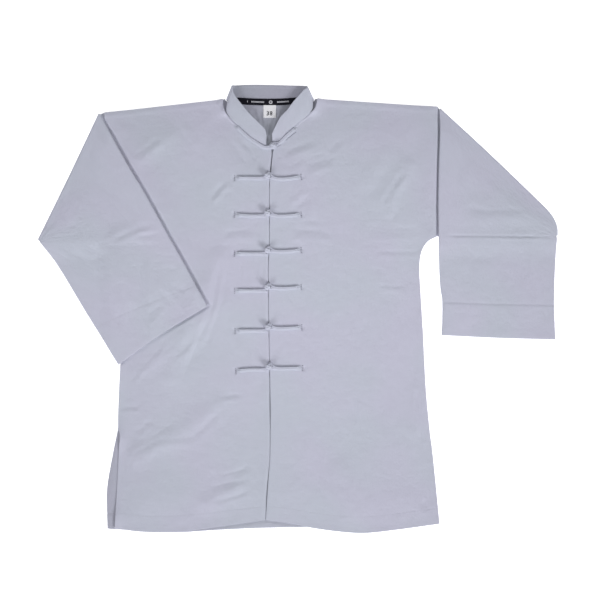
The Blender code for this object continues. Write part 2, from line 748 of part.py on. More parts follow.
def main():
    for old in list(bpy.data.objects):
        bpy.data.objects.remove(old)
    made = {name: make_material(name, *values) for name, values in MATERIALS.items()}
    cotton = made["grey_cotton"]
    back_panel(cotton)
    front_panel("front_panel_right", "front_left", LEFT_HEM, LEFT_NECK, ARMPIT_LEFT, TIP_LEFT, -1, cotton)
    front_panel("front_panel_left", "right", RIGHT_HEM, RIGHT_NECK, ARMPIT_RIGHT, TIP_RIGHT, 1, cotton)
    for plan in SLEEVE_PLANS:
        sleeve(plan, cotton)
    collar(cotton)
    neck_tape(made["black_tape"])
    size_label(made["white_label"])
    frogs(cotton)


main()
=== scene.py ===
"""Looks of a kung fu jacket that lies flat on its back, sleeves folded over on top."""

import math
from collections import namedtuple

import bpy
import numpy as np
from mathutils import Matrix, Vector, noise


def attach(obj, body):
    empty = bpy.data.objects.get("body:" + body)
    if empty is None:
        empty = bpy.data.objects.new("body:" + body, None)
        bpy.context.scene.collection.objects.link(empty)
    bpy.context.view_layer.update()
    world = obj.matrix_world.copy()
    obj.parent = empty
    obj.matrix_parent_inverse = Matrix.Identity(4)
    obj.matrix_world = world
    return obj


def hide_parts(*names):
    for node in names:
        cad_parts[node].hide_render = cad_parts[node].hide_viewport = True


bl_info = {
    "name": "Kung fu jacket",
    "version": (1, 0, 0),
    "blender": (4, 5, 0),
    "location": "View3D > Sidebar > Jacket",
    "description": "Cloth, collar, frogs and stitching of a jacket laid flat",
    "category": "Object",
}

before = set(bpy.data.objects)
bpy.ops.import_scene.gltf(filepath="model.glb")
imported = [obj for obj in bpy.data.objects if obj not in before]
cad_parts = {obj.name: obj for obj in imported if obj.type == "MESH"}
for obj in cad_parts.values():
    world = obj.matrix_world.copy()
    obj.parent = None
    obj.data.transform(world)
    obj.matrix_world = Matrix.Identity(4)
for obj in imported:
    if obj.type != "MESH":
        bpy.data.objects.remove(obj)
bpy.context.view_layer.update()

MM = 0.001


def table(kind, *rows):
    """Named rows from plain ones."""
    return tuple(kind(*row) for row in rows)


def creases(*rows):
    """Creases from rows of a height, a width, and the x and y of each place."""
    return tuple(Crease(row[0], row[1], tuple(zip(row[2::2], row[3::2]))) for row in rows)


# All lengths in the tables are in millimetres. First the walls, gaps and
# heights of the solids, and how the cloth stands up beside what lies on it.
CLOTH, COLLAR_WALL, TAPE_WALL = 1.2, 2.0, 1.0
SEAM_GAP, REST_GAP = 0.3, 0.5
LOFT, LOFT_REACH, FOLD_FADE = 3.0, 70.0, 30.0
SLEEVE_HEIGHT, SLEEVE_PUFF, STACK_GAP = 3.0, 2.4, 0.4
NEAR_LIFT, NEAR_SHARE = 4.0, 0.3
BANK_HEIGHT, BANK_START, BANK_SLOPE, BANK_REACH = 4.0, 1.2, 4.0, 34.0
WEDGE_SLOPE = 42.0
FOLD_AXIS_HEIGHT = SLEEVE_HEIGHT + STACK_GAP / 2
SLOPE_REACH, SLOPE_MARGIN = 26.0, 14.0

# The body's edges on the plan, as in the solids.
SIDE_Y = (-335, -262, -233, -221, -160, -100, -40, 35, 80, 106, 123)
BACK_LEFT = (-352.5, -340.5, -334.6, -333, -331, -328, -327.5, -329, -331, -335, -341)
FRONT_LEFT = (-334.8, -331.2, -329, -332.4, -331, -328, -327.5, -329, -331, -335, -341)
RIGHT_SIDE = (255.5, 248, 244.1, 242.8, 237, 233.5, 230.5, 226, 224.3, 228.5, 239)
ARMPIT_LEFT, ARMPIT_RIGHT = (-349, 132), (256, 133)
TIP_LEFT, TIP_RIGHT = (-357.6, 361.8), (258, 372.5)
NECK_POINT_LEFT, NECK_POINT_RIGHT = (-138.5, 386.5), (35.5, 387.5)
BACK_HEM = (
    (-351.5, -407), (-290, -411.5), (-225, -414), (-158, -409.4),
    (-100, -406.4), (-20, -404), (60, -404.5), (261, -397),
)
LEFT_HEM = (
    (-338.5, -406), (-300, -411.6), (-258, -413.6), (-212, -411.8),
    (-158, -405), (-100, -396.6), (-59.5, -391),
)
RIGHT_HEM = (
    (-57.5, -391), (-15, -397), (26, -405.4), (78, -412.5),
    (124, -415), (185, -408.5), (261.5, -398),
)
OPENING = (
    (-60, -391), (-57, -336), (-52, -275), (-51.4, -200), (-53.2, -70),
    (-54.6, 20), (-54.6, 80), (-52.6, 132), (-52.6, 226), (-49.2, 270), (-45, 302),
)
# The ends of the rows of dark sewing on the arms of the frog at the neck, whose dark thread is a painted
# shadow along the seam and the arms' lower side.
NECK_SHADOW_TACKS = (
    ((-87.0, 315.6), (-61.0, 302.4)), ((-109.6, 336.0), (-96.8, 325.6)), ((-118.0, 343.4), (-112.6, 339.6)),
    ((-29.6, 311.6), (-20.6, 321.8)), ((-17.4, 325.4), (3.6, 343.6)),
    ((-105.3, 325.4), (-78.4, 303.4)), ((-41.0, 297.4), (-33.0, 301.6)), ((-21.8, 311.6), (-4.4, 325.2)),
)
# The line that the knots of the frogs lie on.
KNOT_LINE = ((-51.8, -169), (-55.5, 16), (-55.5, 247))
LEFT_NECK = (
    NECK_POINT_LEFT, (-138.2, 374), (-133.2, 361), (-121, 348.6), (-105.4, 335.4),
    (-91.3, 322.5), (-77.2, 312.5), (-64.4, 305.8), (-57.8, 303.2), (-50.6, 302.2),
)
RIGHT_NECK = (
    NECK_POINT_RIGHT, (32.6, 374), (26.8, 365), (12.7, 354.5), (-5, 340.6),
    (-20.8, 326.8), (-33.8, 312.2), (-42.4, 309.8), (-49.4, 302),
)
BACK_NECK = (
    (-134.6, 386.8), (-133.6, 384.0), (-126, 382.4), (-111, 380.8), (-83, 379), (-55, 378.3),
    (-27, 379), (-4, 380.8), (21, 382.3), (30.4, 384.0), (31.4, 387.0),
)

# How far up the sides the armholes begin, as a share of a side edge's rows.
ARMHOLE_SHARE = 19 / 27

# The collar band, one row for each station round the neck. The seam edge is
# where it is sewn on, and the lifts are the heights of the wall's middle.
Station = namedtuple("Station", "seam_x seam_y top_x top_y seam_lift top_lift")
COLLAR_LEFT = table(
    Station,
    (-59.6, 302.3, -58.0, 319.0, 3.7, 8.6), (-64.9, 304.7, -61.4, 330.2, 3.75, 10.0),
    (-77.8, 311.2, -71.0, 340.4, 3.75, 11.0), (-92.2, 321.5, -86.2, 355.2, 3.75, 11.6),
    (-106.1, 334.6, -100.6, 371.6, 3.75, 12.1), (-121.2, 348.5, -112.0, 386.0, 3.8, 12.4),
    (-132.2, 365.2, -118.8, 397.6, 4.0, 12.4),
)
COLLAR_BACK = table(
    Station,
    (-130.2, 384.3, -114.6, 411.6, 1.0, 1.0), (-111.0, 381.5, -99.0, 412.4, 1.0, 1.0),
    (-83.0, 379.7, -78.0, 412.6, 1.0, 1.0), (-55.0, 379.0, -52.0, 412.2, 1.0, 1.0),
    (-27.0, 379.7, -26.0, 411.6, 1.0, 1.0), (-4.0, 381.5, -4.0, 411.0, 1.0, 1.0),
    (27.4, 384.3, 9.8, 410.8, 1.0, 1.0),
)
COLLAR_RIGHT = table(
    Station,
    (25.9, 367.2, 10.6, 401.8, 4.0, 12.4), (13.4, 353.8, 1.8, 391.8, 3.8, 12.4),
    (-3.9, 339.7, -9.3, 379.3, 3.75, 12.1), (-19.7, 325.8, -20.4, 364.5, 3.75, 11.6),
    (-32.7, 310.9, -31.5, 353.4, 3.75, 11.0), (-41.4, 308.9, -41.2, 335.8, 3.75, 10.0),
    (-46.4, 308.6, -47.7, 322.0, 3.7, 8.6),
)
COLLAR_FOLD_SEAM_RADIUS, COLLAR_FOLD_TOP_RADIUS = 2.0, 5.7
COLLAR_FOLD_ANGLES = (0, 45, 90, 135, 180)
# How far the top edge has moved on the plan at each of those angles, towards the front.
COLLAR_TIP_SLIDE, COLLAR_TIP_SHARES = (6.4, -5.2), (0.0, 0.02, 0.15, 0.5, 1.0)

# The neck tape, with its dashes as rows of a start, a width and a count, and the label.
TAPE_LEFT, TAPE_RIGHT = -119.0, 4.0
TAPE_ABOVE, TAPE_BELOW = 8.4, 2.6
TAPE_MARK_ROW, TAPE_RING = 5.5, 68.6
TAPE_DASHES = ((25.6, 1.4, 1), (33.5, 1.7, 11), (81.2, 1.7, 10))
LABEL_CENTRE_X, LABEL_TOP, LABEL_SIDE, LABEL_WALL = -52.2, 375.6, 23.0, 0.5
FIGURE_HEIGHT, FIGURE_OFFSET = 7.6, (-1.0, -4.6, 0.35)

# One row for each sleeve: its lines on the plan, near edge to far edge. The
# near edge continues the shoulder, and the far edge is the underarm seam.
SleevePlan = namedtuple(
    "SleevePlan",
    "name armhole fold ridge cuff upper_near upper_far lower_near lower_far",
)
SLEEVE_PLANS = (
    SleevePlan(
        name="sleeve_right",
        armhole=(TIP_LEFT, ARMPIT_LEFT),
        fold=((-365.6, 358.8), (-420.5, 242.8), (-478.1, 125.3)),
        ridge=((-236, 129), (-475.4, 121)),
        cuff=((-166.8, 4.8), (-250, -45.5), (-332, -103.5)),
        upper_near=((-365.6, 358.8), (-312.7, 263), (-284.3, 216), (-236, 129)),
        upper_far=((-478.1, 125.3), (-475.4, 121)),
        lower_near=((-236, 129), (-208.3, 80.5), (-191.5, 49), (-166.8, 4.8)),
        lower_far=((-475.4, 121), (-446, 82.3), (-392.2, -6.5), (-364.5, -51), (-332, -103.5)),
    ),
    SleevePlan(
        name="sleeve_left",
        armhole=(TIP_RIGHT, ARMPIT_RIGHT),
        fold=((260.5, 367.7), (343.8, 290.9), (436.3, 202.1), (465, 172.5), (475.5, 152), (476.8, 134.5)),
        ridge=((259.3, 128.5), (478.3, 129)),
        cuff=((264.5, -48.5), (370, -53.5), (476, -56.5)),
        upper_near=((260.5, 367.7), (262, 340), (259.7, 257), (258.8, 190), (259.3, 128.5)),
        upper_far=((476.8, 134.5), (478.3, 129)),
        lower_near=((259.3, 128.5), (260, 90), (262.7, 38), (266, 15.7), (266, -25), (264.5, -48.5)),
        lower_far=((478.3, 129), (475.5, 82), (473.8, 38), (473.8, -6), (475, -40), (476, -56.5)),
    ),
)

# The largest folds, as in the solids: each a soft ridge along a line.
Fold = namedtuple("Fold", "x1 y1 x2 y2 width height")
BODY_FOLDS = table(
    Fold,
    (-150, 92, -196, -20, 17, 2.2), (-196, -20, -236, -128, 17, 1.8), (-306, -274, -232, -240, 19, 2.4),
    (-232, -240, -150, -180, 19, 2.0), (-292, 280, -240, 318, 18, 1.8), (158, 200, 200, 262, 18, 2.0),
    (128, 236, 160, 282, 18, 1.2), (222, -150, 222, -225, 14, 1.8), (80, -300, 100, -372, 20, 1.8),
    (-170, -362, -104, -338, 16, 1.6),
)
SLEEVE_FOLDS = table(
    Fold,
    (-340, 128, -252, 164, 15, 2.0), (-334, 100, -318, 10, 18, 2.2), (-436, 96, -396, 60, 16, 1.4),
    (-248, 40, -220, 10, 14, 1.4), (300, 182, 420, 182, 20, 1.6), (430, 96, 440, 10, 24, 1.4),
    (310, 70, 300, -20, 26, 1.2),
)

# The frogs on the opening: the heights of their knot half and loop half, and
# how much higher the outer end of each half lies.
FrogRow = namedtuple("FrogRow", "name knot_y loop_y knot_rise loop_rise")
FROG_TABLE = table(
    FrogRow,
    ("frog_2", 239.2, 239.2, 1.6, 3.6), ("frog_3", 169.8, 170.8, 3.6, 2.4),
    ("frog_4", 99.9, 105.1, 1.6, 2.4), ("frog_5", 31.6, 37.2, 1.4, 2.0),
    ("frog_6", -42.2, -36.6, 0.8, 1.6), ("frog_7", -114.1, -110.6, -1.2, 0.6),
)
NECK_FROG_CENTRE = (-45.8, 301.0)
NECK_FROG_LEFT = (
    NECK_FROG_CENTRE, (-60.0, 296.6), (-76.0, 305.0), (-92.0, 315.8), (-106.0, 328.4), (-117.4, 339.2),
)
NECK_FROG_RIGHT = (NECK_FROG_CENTRE, (-33.5, 306.4), (-17.5, 321.2), (-1.0, 335.4))
# Sizes of the frogs: their cords, balls, loops, pressed ends and rows of tacks.
FROG_HALF_LENGTH, CORD_RADIUS = 61.0, 1.75
BALL_LIFT, LOOP_RISE, EYE_RADIUS = 7.6, 1.8, 2.6
LOOP_REACH, LOOP_HALF_WIDTH = 5.6, 5.4
END_PRESS, LOWER_PRESS = 0.8, 0.35
KNOT_START, LOOP_START = 1.5, 12.0
TACK_HALF, TACK_PLACE, TACK_HEIGHT, TACK_ROWS = 4.6, 0.6, 0.25, (-0.8, 0.0, 0.8)
NECK_TACK_HEIGHT, NECK_TACK_ROWS = 0.7, (-0.7, 0.0, 0.7)
# How far the knots lie above the middle of their halves.
KNOT_ABOVE = 6.6

# The creases that show, each a soft trough (below nought) or ridge along a smooth line.
Crease = namedtuple("Crease", "height width path")
BODY_CREASES = creases(
    (-0.8, 6, -307, 275, -278, 299, -248, 319),
    (0.7, 6, -300, 265, -270, 290, -240, 310),
    (-0.7, 6, -226, 341, -207, 312, -189, 282),
    (0.6, 6, -216, 347, -198, 317, -179, 288),
    (-1.1, 5, -168, 195, -150, 217, -130, 238),
    (1.1, 5, -161, 190, -142, 212, -122, 232),
    (1.3, 7, -152, 97, -161, 53, -166, 8, -183, -36, -200, -77, -226, -121),
    (-1.0, 6, -142, 95, -152, 49, -157, 6, -174, -42, -191, -84, -215, -127),
    (1.1, 6, -133, 86, -142, 49, -148, 16, -161, -23, -179, -62, -202, -95),
    (-0.9, 6, -126, 82, -135, 45, -141, 12, -154, -27, -172, -68, -194, -103),
    (0.9, 6, -226, -103, -204, -79, -181, -53),
    (-0.7, 5, -233, -97, -211, -73, -192, -51),
    (0.9, 6, -278, -114, -259, -93, -240, -75),
    (-0.7, 5, -287, -108, -268, -88, -252, -73),
    (0.8, 5, -303, -143, -289, -121, -274, -106),
    (-0.6, 5, -311, -138, -296, -116, -283, -103),
    (-0.75, 5.5, -311, -286, -289, -262, -255, -243, -226, -240, -196, -236, -170, -214,
     -144, -191, -113, -175),
    (0.6, 6.5, -303, -293, -281, -271, -252, -254, -224, -251, -192, -247, -165, -223,
     -139, -201, -109, -186),
    (-0.7, 5, -303, -232, -285, -216, -265, -203),
    (0.6, 5, -298, -241, -279, -225, -259, -214),
    (-0.8, 4, -333, -184, -311, -182, -289, -182),
    (0.6, 4, -333, -191, -311, -190, -289, -190),
    (-0.9, 4, -148, -164, -126, -160, -102, -158),
    # The arms at the neck get dark sewing along the seam and their lower side, a painted shadow there.
    (0.8, 4.5, -146, -171, -124, -169, -100, -167),
    (-1.2, 6, -161, -358, -133, -351, -107, -341, -83, -330),
    (0.9, 6, -165, -345, -137, -338, -111, -328, -89, -317),
    (-0.7, 5, -159, -297, -157, -315, -152, -336),
    (-0.8, 5, -126, -308, -107, -299, -87, -288),
    (0.7, 5, -122, -319, -102, -310, -83, -301),
    (-0.7, 3.5, -105, 88, -105, 69, -104, 49),
    (-0.6, 3.5, -65, 86, -65, 68, -65, 49),
    (-0.8, 5, -141, 138, -115, 143, -87, 145),
    (0.9, 7, -148, 125, -111, 130, -67, 130),
    (-0.9, 5, -15, 145, 18, 145, 44, 142, 68, 132),
    (0.9, 7, -18, 127, 22, 129, 63, 125),
    (-0.7, 5, 0, 160, 26, 162, 52, 156),
    (-0.9, 5, -7, 186, 7, 195, 26, 208),
    (0.8, 6, -18, 193, -2, 203, 18, 219),
    (1.0, 7, 13, 247, 41, 256, 72, 269),
    (-0.9, 6, 9, 262, 37, 271, 65, 284),
    (-0.7, 6, 56, 288, 68, 301, 83, 315),
    (0.6, 6, 63, 280, 76, 293, 91, 308),
    (-1.3, 6, 152, 186, 172, 219, 196, 256),
    (1.5, 6, 165, 186, 183, 217, 207, 251),
    (1.0, 5, 163, 166, 172, 186, 183, 206),
    (-0.6, 5, 174, 156, 185, 179, 196, 195),
    (-0.6, 4, 142, 106, 185, 105, 228, 105),
    (0.6, 5, 142, 99, 185, 95, 228, 95),
    (0.6, 7, 133, 127, 185, 130, 233, 127),
    (-0.5, 4, 166, 147, 204, 149, 237, 147),
    (-0.6, 4, 142, 42, 174, 42, 202, 42),
    (0.5, 4.5, 142, 34, 174, 34, 202, 32),
    (-0.5, 5, 109, -49, 122, -36, 135, -23),
    (-0.5, 4.5, 96, -166, 104, -190, 109, -216),
    (0.4, 4.5, 105, -164, 113, -188, 118, -214),
    (-1.1, 5, 218, -143, 220, -177, 224, -214, 233, -254),
    (1.0, 4.5, 229, -140, 231, -177, 235, -214),
    (-0.8, 6, 231, -351, 242, -367, 252, -389),
    (-0.9, 5, -128, 312, -111, 291, -100, 269),
    (0.8, 5, -117, 315, -100, 295, -89, 275),
    (-0.8, 4.5, -102, 310, -87, 291, -78, 271),
    (0.9, 6, -26, 275, 6, 288, 41, 299),
    (-0.8, 5, -28, 288, 0, 299, 30, 310),
    (-0.7, 5, -18, 260, 11, 273, 37, 280),
    (-0.6, 8, -107, 364, -135, 345, -170, 334),
    (0.5, 8, 4, -225, 18, -284, 15, -354),
    (-0.5, 8, 26, -225, 41, -284, 37, -354),
    (0.5, 9, -255, -299, -237, -339, -240, -382),
    (-0.5, 9, -226, -295, -207, -336, -211, -382),
    (-0.6, 7, 87, -314, 94, -336, 104, -360),
    (-0.6, 2.6, -176, -34, -198, -95, -218, -140),
    (-0.5, 2.4, -191, -51, -213, -87, -235, -123),
    (-0.5, 2.4, -218, -51, -260, -95, -285, -115),
    (-0.55, 2.4, -223, -206, -260, -231, -289, -251),
    (-0.6, 2.6, -287, -256, -305, -275, -314, -301),
    (-0.45, 2.4, -260, -264, -273, -286, -285, -306),
    (-0.6, 2.4, -98, -297, -120, -302, -143, -308),
    (-0.6, 2.4, -103, -317, -132, -322, -161, -331),
    (-0.6, 2.6, -90, -337, -113, -346, -138, -353),
    (-0.5, 2.6, -260, 318, -285, 286, -298, 265),
    (-0.55, 2.6, -229, 332, -218, 304, -198, 280),
    (-0.6, 3, 212, -95, 217, -151, 226, -195),
    (-0.35, 2.6, 90, -162, 98, -184, 106, -206),
    (-0.4, 3, 31, -317, 54, -351, 70, -373),
    (-0.4, 2.6, 87, -317, 93, -340, 98, -362),
    (-0.5, 2.4, 20, 280, 37, 283, 54, 288),
    (0.5, 7, 100, -310, 107, -332, 117, -356),
)
RIGHT_SLEEVE_CREASES = creases(
    (-1.4, 5.5, -348, 121, -322, 136, -292, 149, -270, 156, -250, 164),
    (1.1, 6, -344, 110, -318, 125, -290, 138, -265, 145, -248, 151),
    (0.8, 6, -311, 123, -274, 127, -237, 127),
    (-0.6, 4.5, -303, 134, -274, 136, -244, 140),
    (-1.2, 8, -296, 99, -290, 53, -289, 6),
    (0.9, 8, -278, 95, -274, 53, -272, 10),
    (-0.8, 4, -259, 40, -246, 23, -233, 3),
    (0.7, 4, -250, 45, -237, 29, -224, 10),
    (-0.6, 4, -237, 43, -218, 38, -204, 29),
    (-0.7, 5, -281, -25, -268, -5, -252, 10),
    (0.6, 5, -274, -34, -259, -16, -244, -1),
    (-0.8, 5, -414, 108, -392, 84, -377, 49),
    (0.7, 5, -403, 116, -381, 92, -366, 58),
    (-0.6, 5, -385, 116, -364, 93, -353, 69),
    (-0.6, 6, -437, 175, -418, 156, -396, 145),
    (0.6, 7, -418, 208, -396, 190, -370, 179),
    (-0.6, 7, -370, 290, -359, 245, -352, 204),
    (0.5, 7, -355, 293, -344, 249, -335, 208),
    (-0.7, 6, -352, 16, -337, -6, -329, -36),
    (0.6, 6, -339, 21, -324, -1, -314, -31),
    (-0.6, 5, -207, 86, -226, 75, -244, 71),
    (-0.6, 2.6, -312, 66, -314, 16, -305, -34),
    (-0.5, 2.4, -285, 49, -279, 20, -272, -6),
    (-0.55, 2.4, -246, 82, -218, 66, -189, 58),
    (-0.5, 2.4, -420, 116, -385, 91, -329, 110),
    (-0.4, 2.6, -396, 204, -391, 185, -385, 166),
)
LEFT_SLEEVE_CREASES = creases(
    (-0.7, 2.3, 236, 135.0, 365, 134.0, 500, 132.0),
    (0.45, 2.8, 236, 129.8, 365, 128.9, 500, 127.0),
    (-0.7, 5, 290, 187, 359, 179, 453, 187),
    (-1.0, 10, 296, 180, 337, 186, 374, 188, 422, 179),
    (0.8, 10, 263, 160, 318, 162, 383, 164, 457, 162),
    (-0.5, 4.5, 318, 90, 337, 92, 359, 90),
    (0.5, 5, 318, 80, 339, 82, 361, 80),
    (-0.6, 8, 303, 86, 311, 53, 307, 19),
    (0.6, 8, 326, 79, 333, 49, 331, 19),
    (-0.6, 7, 407, 108, 414, 75, 418, 38),
    (0.5, 7, 422, 108, 431, 75, 435, 38),
    (-0.6, 8, 285, 308, 296, 271, 292, 223),
    (0.6, 8, 305, 301, 316, 264, 313, 219),
    (-0.5, 7, 359, 253, 374, 234, 396, 219),
    (0.5, 7, 348, 234, 364, 216, 388, 203),
    (-0.6, 6, 285, 1, 292, -21, 290, -45),
    (-0.5, 6, 374, 1, 379, -21, 377, -47),
    (0.5, 6, 388, 1, 394, -21, 392, -47),
    (-0.6, 5, 457, 127, 462, 86, 461, 42),
)

# Gathers of the back below the neck tape.
NECK_GATHERS = creases(
    (0.8, 2.6, -90.7, 372.8, -87.0, 359.8, -77.7, 345.0),
    (-0.9, 2.4, -84.2, 372.8, -79.5, 359.8, -72.2, 343.2),
    (0.9, 2.4, -77.7, 372.8, -74.0, 358.0, -68.5, 337.6),
    (-0.8, 2.2, -72.2, 372.8, -68.5, 356.1, -64.8, 333.9),
    (0.7, 2.4, -66.6, 370.9, -62.9, 352.4, -61.1, 326.5),
    (-0.8, 2.4, -37.0, 372.8, -42.6, 356.1, -51.8, 333.9),
    (0.9, 2.6, -29.6, 372.8, -37.0, 354.3, -50.0, 328.4),
    (-1.0, 2.6, -22.2, 372.8, -33.3, 352.4, -48.1, 324.7),
    (0.8, 2.4, -55.5, 350.6, -55.5, 337.6, -57.4, 319.1),
)

# The back's gathers end at the tape, and what shows of it elsewhere lies below
# the sleeves. The shades darken its wrong side: partly the wrong side's own tone,
# partly painted shade inside the neck, less at the open hem and at the vent, and
# more as a painted shadow of the collar's fold on the wearer's left.
GATHERS_TOP, GATHER_LOFT, GATHER_RIPPLE, BELOW_SLEEVES = 377.5, 0.45, 0.3, -150.0
OPEN_HEM, VENT_X, FOLD_SHADOW = (-320.0, -300.0), -322.0, (-47.0, 336.0, 0.38, 290.0)
NECK_SHADE, HEM_SHADE, VENT_SHADE, FOLD_SHADE = 0.85, 0.65, 0.3, 0.7

# Half the opening's width, wider below the throat, with wider places as rows of
# a height on the plan, a reach and an extra width, also above and below each knot.
LEAST_GAP, THROAT_GAP, THROAT_Y = 0.22, 0.8, 240
GAPES = ((293, 4.5, 1.7), (-182, 34, 0.5), (-345, 34, 0.5))
KNOT_GAPES = ((11, 5, 0.4), (-10, 4, 0.3))

# How much the opening's edges stand up on each side, and the cloth beside the
# collar's folds, and the vent's edge at its ends, as rows of a height and a reach.
EDGE_ROLLS, COLLAR_BANK, VENT_BANK = {-1: 1.2, 1: 0.4}, 4.2, 3.6
VENT_ENDS = ((-240.0, 20.0), (-392.0, 32.0))

# How much nearer and higher the bank is beside the wearer's left armhole.
ARMHOLE_NEARER, ARMHOLE_HIGHER = {"sleeve_right": 0.0, "sleeve_left": 1.2}, 0.55
ARMHOLE_Y, ARMHOLE_HALF = 285.0, 70.0

# The slight unevenness of laid cloth, as rows of a share, a wave size and a seed step.
UNEVEN_WAVES = ((0.75, 95.0, 0.0), (0.32, 34.0, 7.0), (0.10, 11.0, 13.0))

# Where the cloth is hemmed, how deep, and how thick its two layers look.
HEM_DEPTH, CUFF_DEPTH, HEM_EXTRA = 28.0, 61.0, 0.55
GROOVE_DEPTH, GROOVE_WIDTH = 0.4, 1.6

# Lengths along the pieces, and the steps of their grids: the length, the fine
# part at its start, the fine step, the coarse step, and the fine part at its end.
# The collar's numbers are shares of its height, as are the places of its stitching.
BACK_LENGTH, FRONT_LENGTH, SEAM_LENGTH, FRONT_WIDTH = 780.0, 740.0, 760.0, 285.0
SLEEVE_WIDTH, COLLAR_HEIGHT = 222.0, 33.0
BACK_STEPS = (796.0, 42.0, 2.1, 7.0, 36.0)
FRONT_UP_STEPS = (790.0, 42.0, 1.4, 2.7, 14.0)
FRONT_ACROSS_STEPS = (290.0, 12.0, 1.5, 2.7, 78.0)
UPPER_SLEEVE_STEPS = (240.0, 22.0, 1.5, 5.0, 0.0)
LOWER_SLEEVE_STEPS = (190.0, 8.0, 1.8, 4.2, 66.0)
SHOULDER_COLUMNS, NECK_COLUMNS, SLEEVE_COLUMNS = 36, 96, 64
COLLAR_STEPS = (1.0, 0.16, 0.038, 0.078, 0.14)
COLLAR_SEWING, COLLAR_TOP_SEWING = 0.09, 0.87

# The rounding of a wall's edges in degrees, and a distance beyond any cuff.
WALL_ANGLES, FAR_AWAY = (45, 90, 135), 999.0

# The button knots: a strand of cord woven round a ball, with a plump core.
STRAND_RADIUS, BALL_RADIUS, CORE_LENGTH, CORE_RADIUS = 1.55, 4.0, 4.2, 4.7
FILLER_RADIUS = 1.6

# The floor and the camera, in metres, with the lens and its sensor in millimetres.
FLOOR_REACH, FLOOR_DROP, FLOOR_CORNERS = 8.0, 0.0004, ((-1, -1), (1, -1), (1, 1), (-1, 1))
CAMERA_PLACE, LENS, SENSOR_WIDTH, FARTHEST = (0.0037, 0.0157), 85.0, 36.0, 50.0
WHITE = (1.0, 1.0, 1.0, 1.0)


def smooth(value):
    """Nought to one with soft ends."""
    value = np.clip(value, 0.0, 1.0)
    return value * value * (3.0 - 2.0 * value)


def bell(distance, width):
    """One at no distance, falling softly to nought."""
    return np.exp(-((distance / width) ** 2))


def unit(rows):
    """Rows with their length made one."""
    return rows / np.linalg.norm(rows, axis=-1, keepdims=True)


def curve_through(points, samples, even=False):
    """A smooth curve through rows of numbers. Its bends fit the spans, unless it is even."""
    rows = np.array(points, float)
    padded = np.vstack([2 * rows[0] - rows[1], rows, 2 * rows[-1] - rows[-2]])
    t = (np.arange(samples) + 1)[:, None] / samples
    result = [rows[:1]]
    for before, start, end, after in zip(padded, padded[1:], padded[2:], padded[3:]):
        into, out = (end - before) / 2, (after - start) / 2
        if not even:
            span = np.linalg.norm(end - start)
            ways = (end - before, after - start)
            into, out = (way * span / max(np.linalg.norm(way), 1e-9) for way in ways)
        result.append(
            (2 * t**3 - 3 * t**2 + 1) * start + (t**3 - 2 * t**2 + t) * into
            + (3 * t**2 - 2 * t**3) * end + (t**3 - t**2) * out
        )
    return np.vstack(result)


def left_of(way):
    """Directions on the plan, turned a quarter to the left."""
    return np.stack([-way[..., 1], way[..., 0]], -1)


def lengths_along(line):
    """How far along a line each of its places is."""
    steps = np.linalg.norm(np.diff(line, axis=0), axis=1)
    return np.concatenate([[0.0], np.cumsum(steps)])


def route(points, places, samples=16):
    """Rows at shares of the length of a smooth curve through the points."""
    line = curve_through(points, samples) if len(points) > 2 else np.array(points, float)
    along = lengths_along(line)
    wanted = np.asarray(places) * along[-1]
    return np.column_stack([np.interp(wanted, along, axis) for axis in line.T])


def patch(bottom, top, left, right, us, vs):
    """A grid of places inside four edges that meet at their corners."""
    u, v = us[None, :, None], vs[:, None, None]
    corners = (1 - v) * ((1 - u) * bottom[0] + u * bottom[-1])
    corners = corners + v * ((1 - u) * top[0] + u * top[-1])
    between = (1 - v) * bottom[None] + v * top[None]
    return between + (1 - u) * left[:, None] + u * right[:, None] - corners


def distance_to(points, line, closed=False):
    """Distance from each place to a polyline, and the share of its length there."""
    flat = points.reshape(-1, 2)
    starts, ends = line[:-1], line[1:]
    if closed:
        starts, ends = line, np.roll(line, -1, axis=0)
    spans = np.linalg.norm(ends - starts, axis=1)
    before = np.concatenate([[0.0], np.cumsum(spans)])
    best = np.full(len(flat), np.inf)
    share = np.zeros(len(flat))
    for start, end, span, length in zip(starts, ends, spans, before):
        along = (end - start) / max(span, 1e-9)
        away = flat - start
        t = np.clip(away @ along, 0.0, span)
        distance = np.linalg.norm(away - t[:, None] * along, axis=1)
        nearer = distance < best
        best[nearer] = distance[nearer]
        share[nearer] = (length + t[nearer]) / before[-1]
    return best.reshape(points.shape[:-1]), share.reshape(points.shape[:-1])


def distance_inside(points, outline):
    """Distance to a closed outline: positive inside it, negative outside."""
    x, y = points[..., 0], points[..., 1]
    inside = np.zeros(x.shape, bool)
    for a, b in zip(outline, np.roll(outline, -1, axis=0)):
        if a[1] != b[1]:
            crosses = (a[1] > y) != (b[1] > y)
            inside ^= crosses & (x < a[0] + (y - a[1]) / (b[1] - a[1]) * (b[0] - a[0]))
    distance, _ = distance_to(points, outline, closed=True)
    return np.where(inside, distance, -distance)


def fold_height(points, folds):
    """Height of the largest soft ridges, as in the solids."""
    total = np.zeros(points.shape[:-1])
    for fold in folds:
        line = np.array([(fold.x1, fold.y1), (fold.x2, fold.y2)], float)
        away, _ = distance_to(points, line)
        total = np.maximum(total, fold.height * bell(away, fold.width))
    return total


def crease_height(points, rows):
    """Height of the listed creases, which fade and swell along their length."""
    total = np.zeros(points.shape[:-1])
    for index, crease in enumerate(rows):
        line = route(crease.path, np.linspace(0, 1, 4 * len(crease.path)))
        low, high = line.min(0) - 3 * crease.width, line.max(0) + 3 * crease.width
        near = ((points > low) & (points < high)).all(-1)
        if not near.any():
            continue
        away, share = distance_to(points[near], line)
        taper = smooth(4 * np.minimum(share, 1 - share))
        swell = 0.8 + 0.2 * np.sin(9 * share + 2.4 * index)
        total[near] += crease.height * taper * swell * bell(away, crease.width)
    return total


def ripple(points, size, seed):
    """Smooth random height from -1 to 1, the same on each run."""
    flat = points.reshape(-1, 2) / size
    values = [noise.noise((x, y, seed)) for x, y in flat.tolist()]
    return np.array(values).reshape(points.shape[:-1])


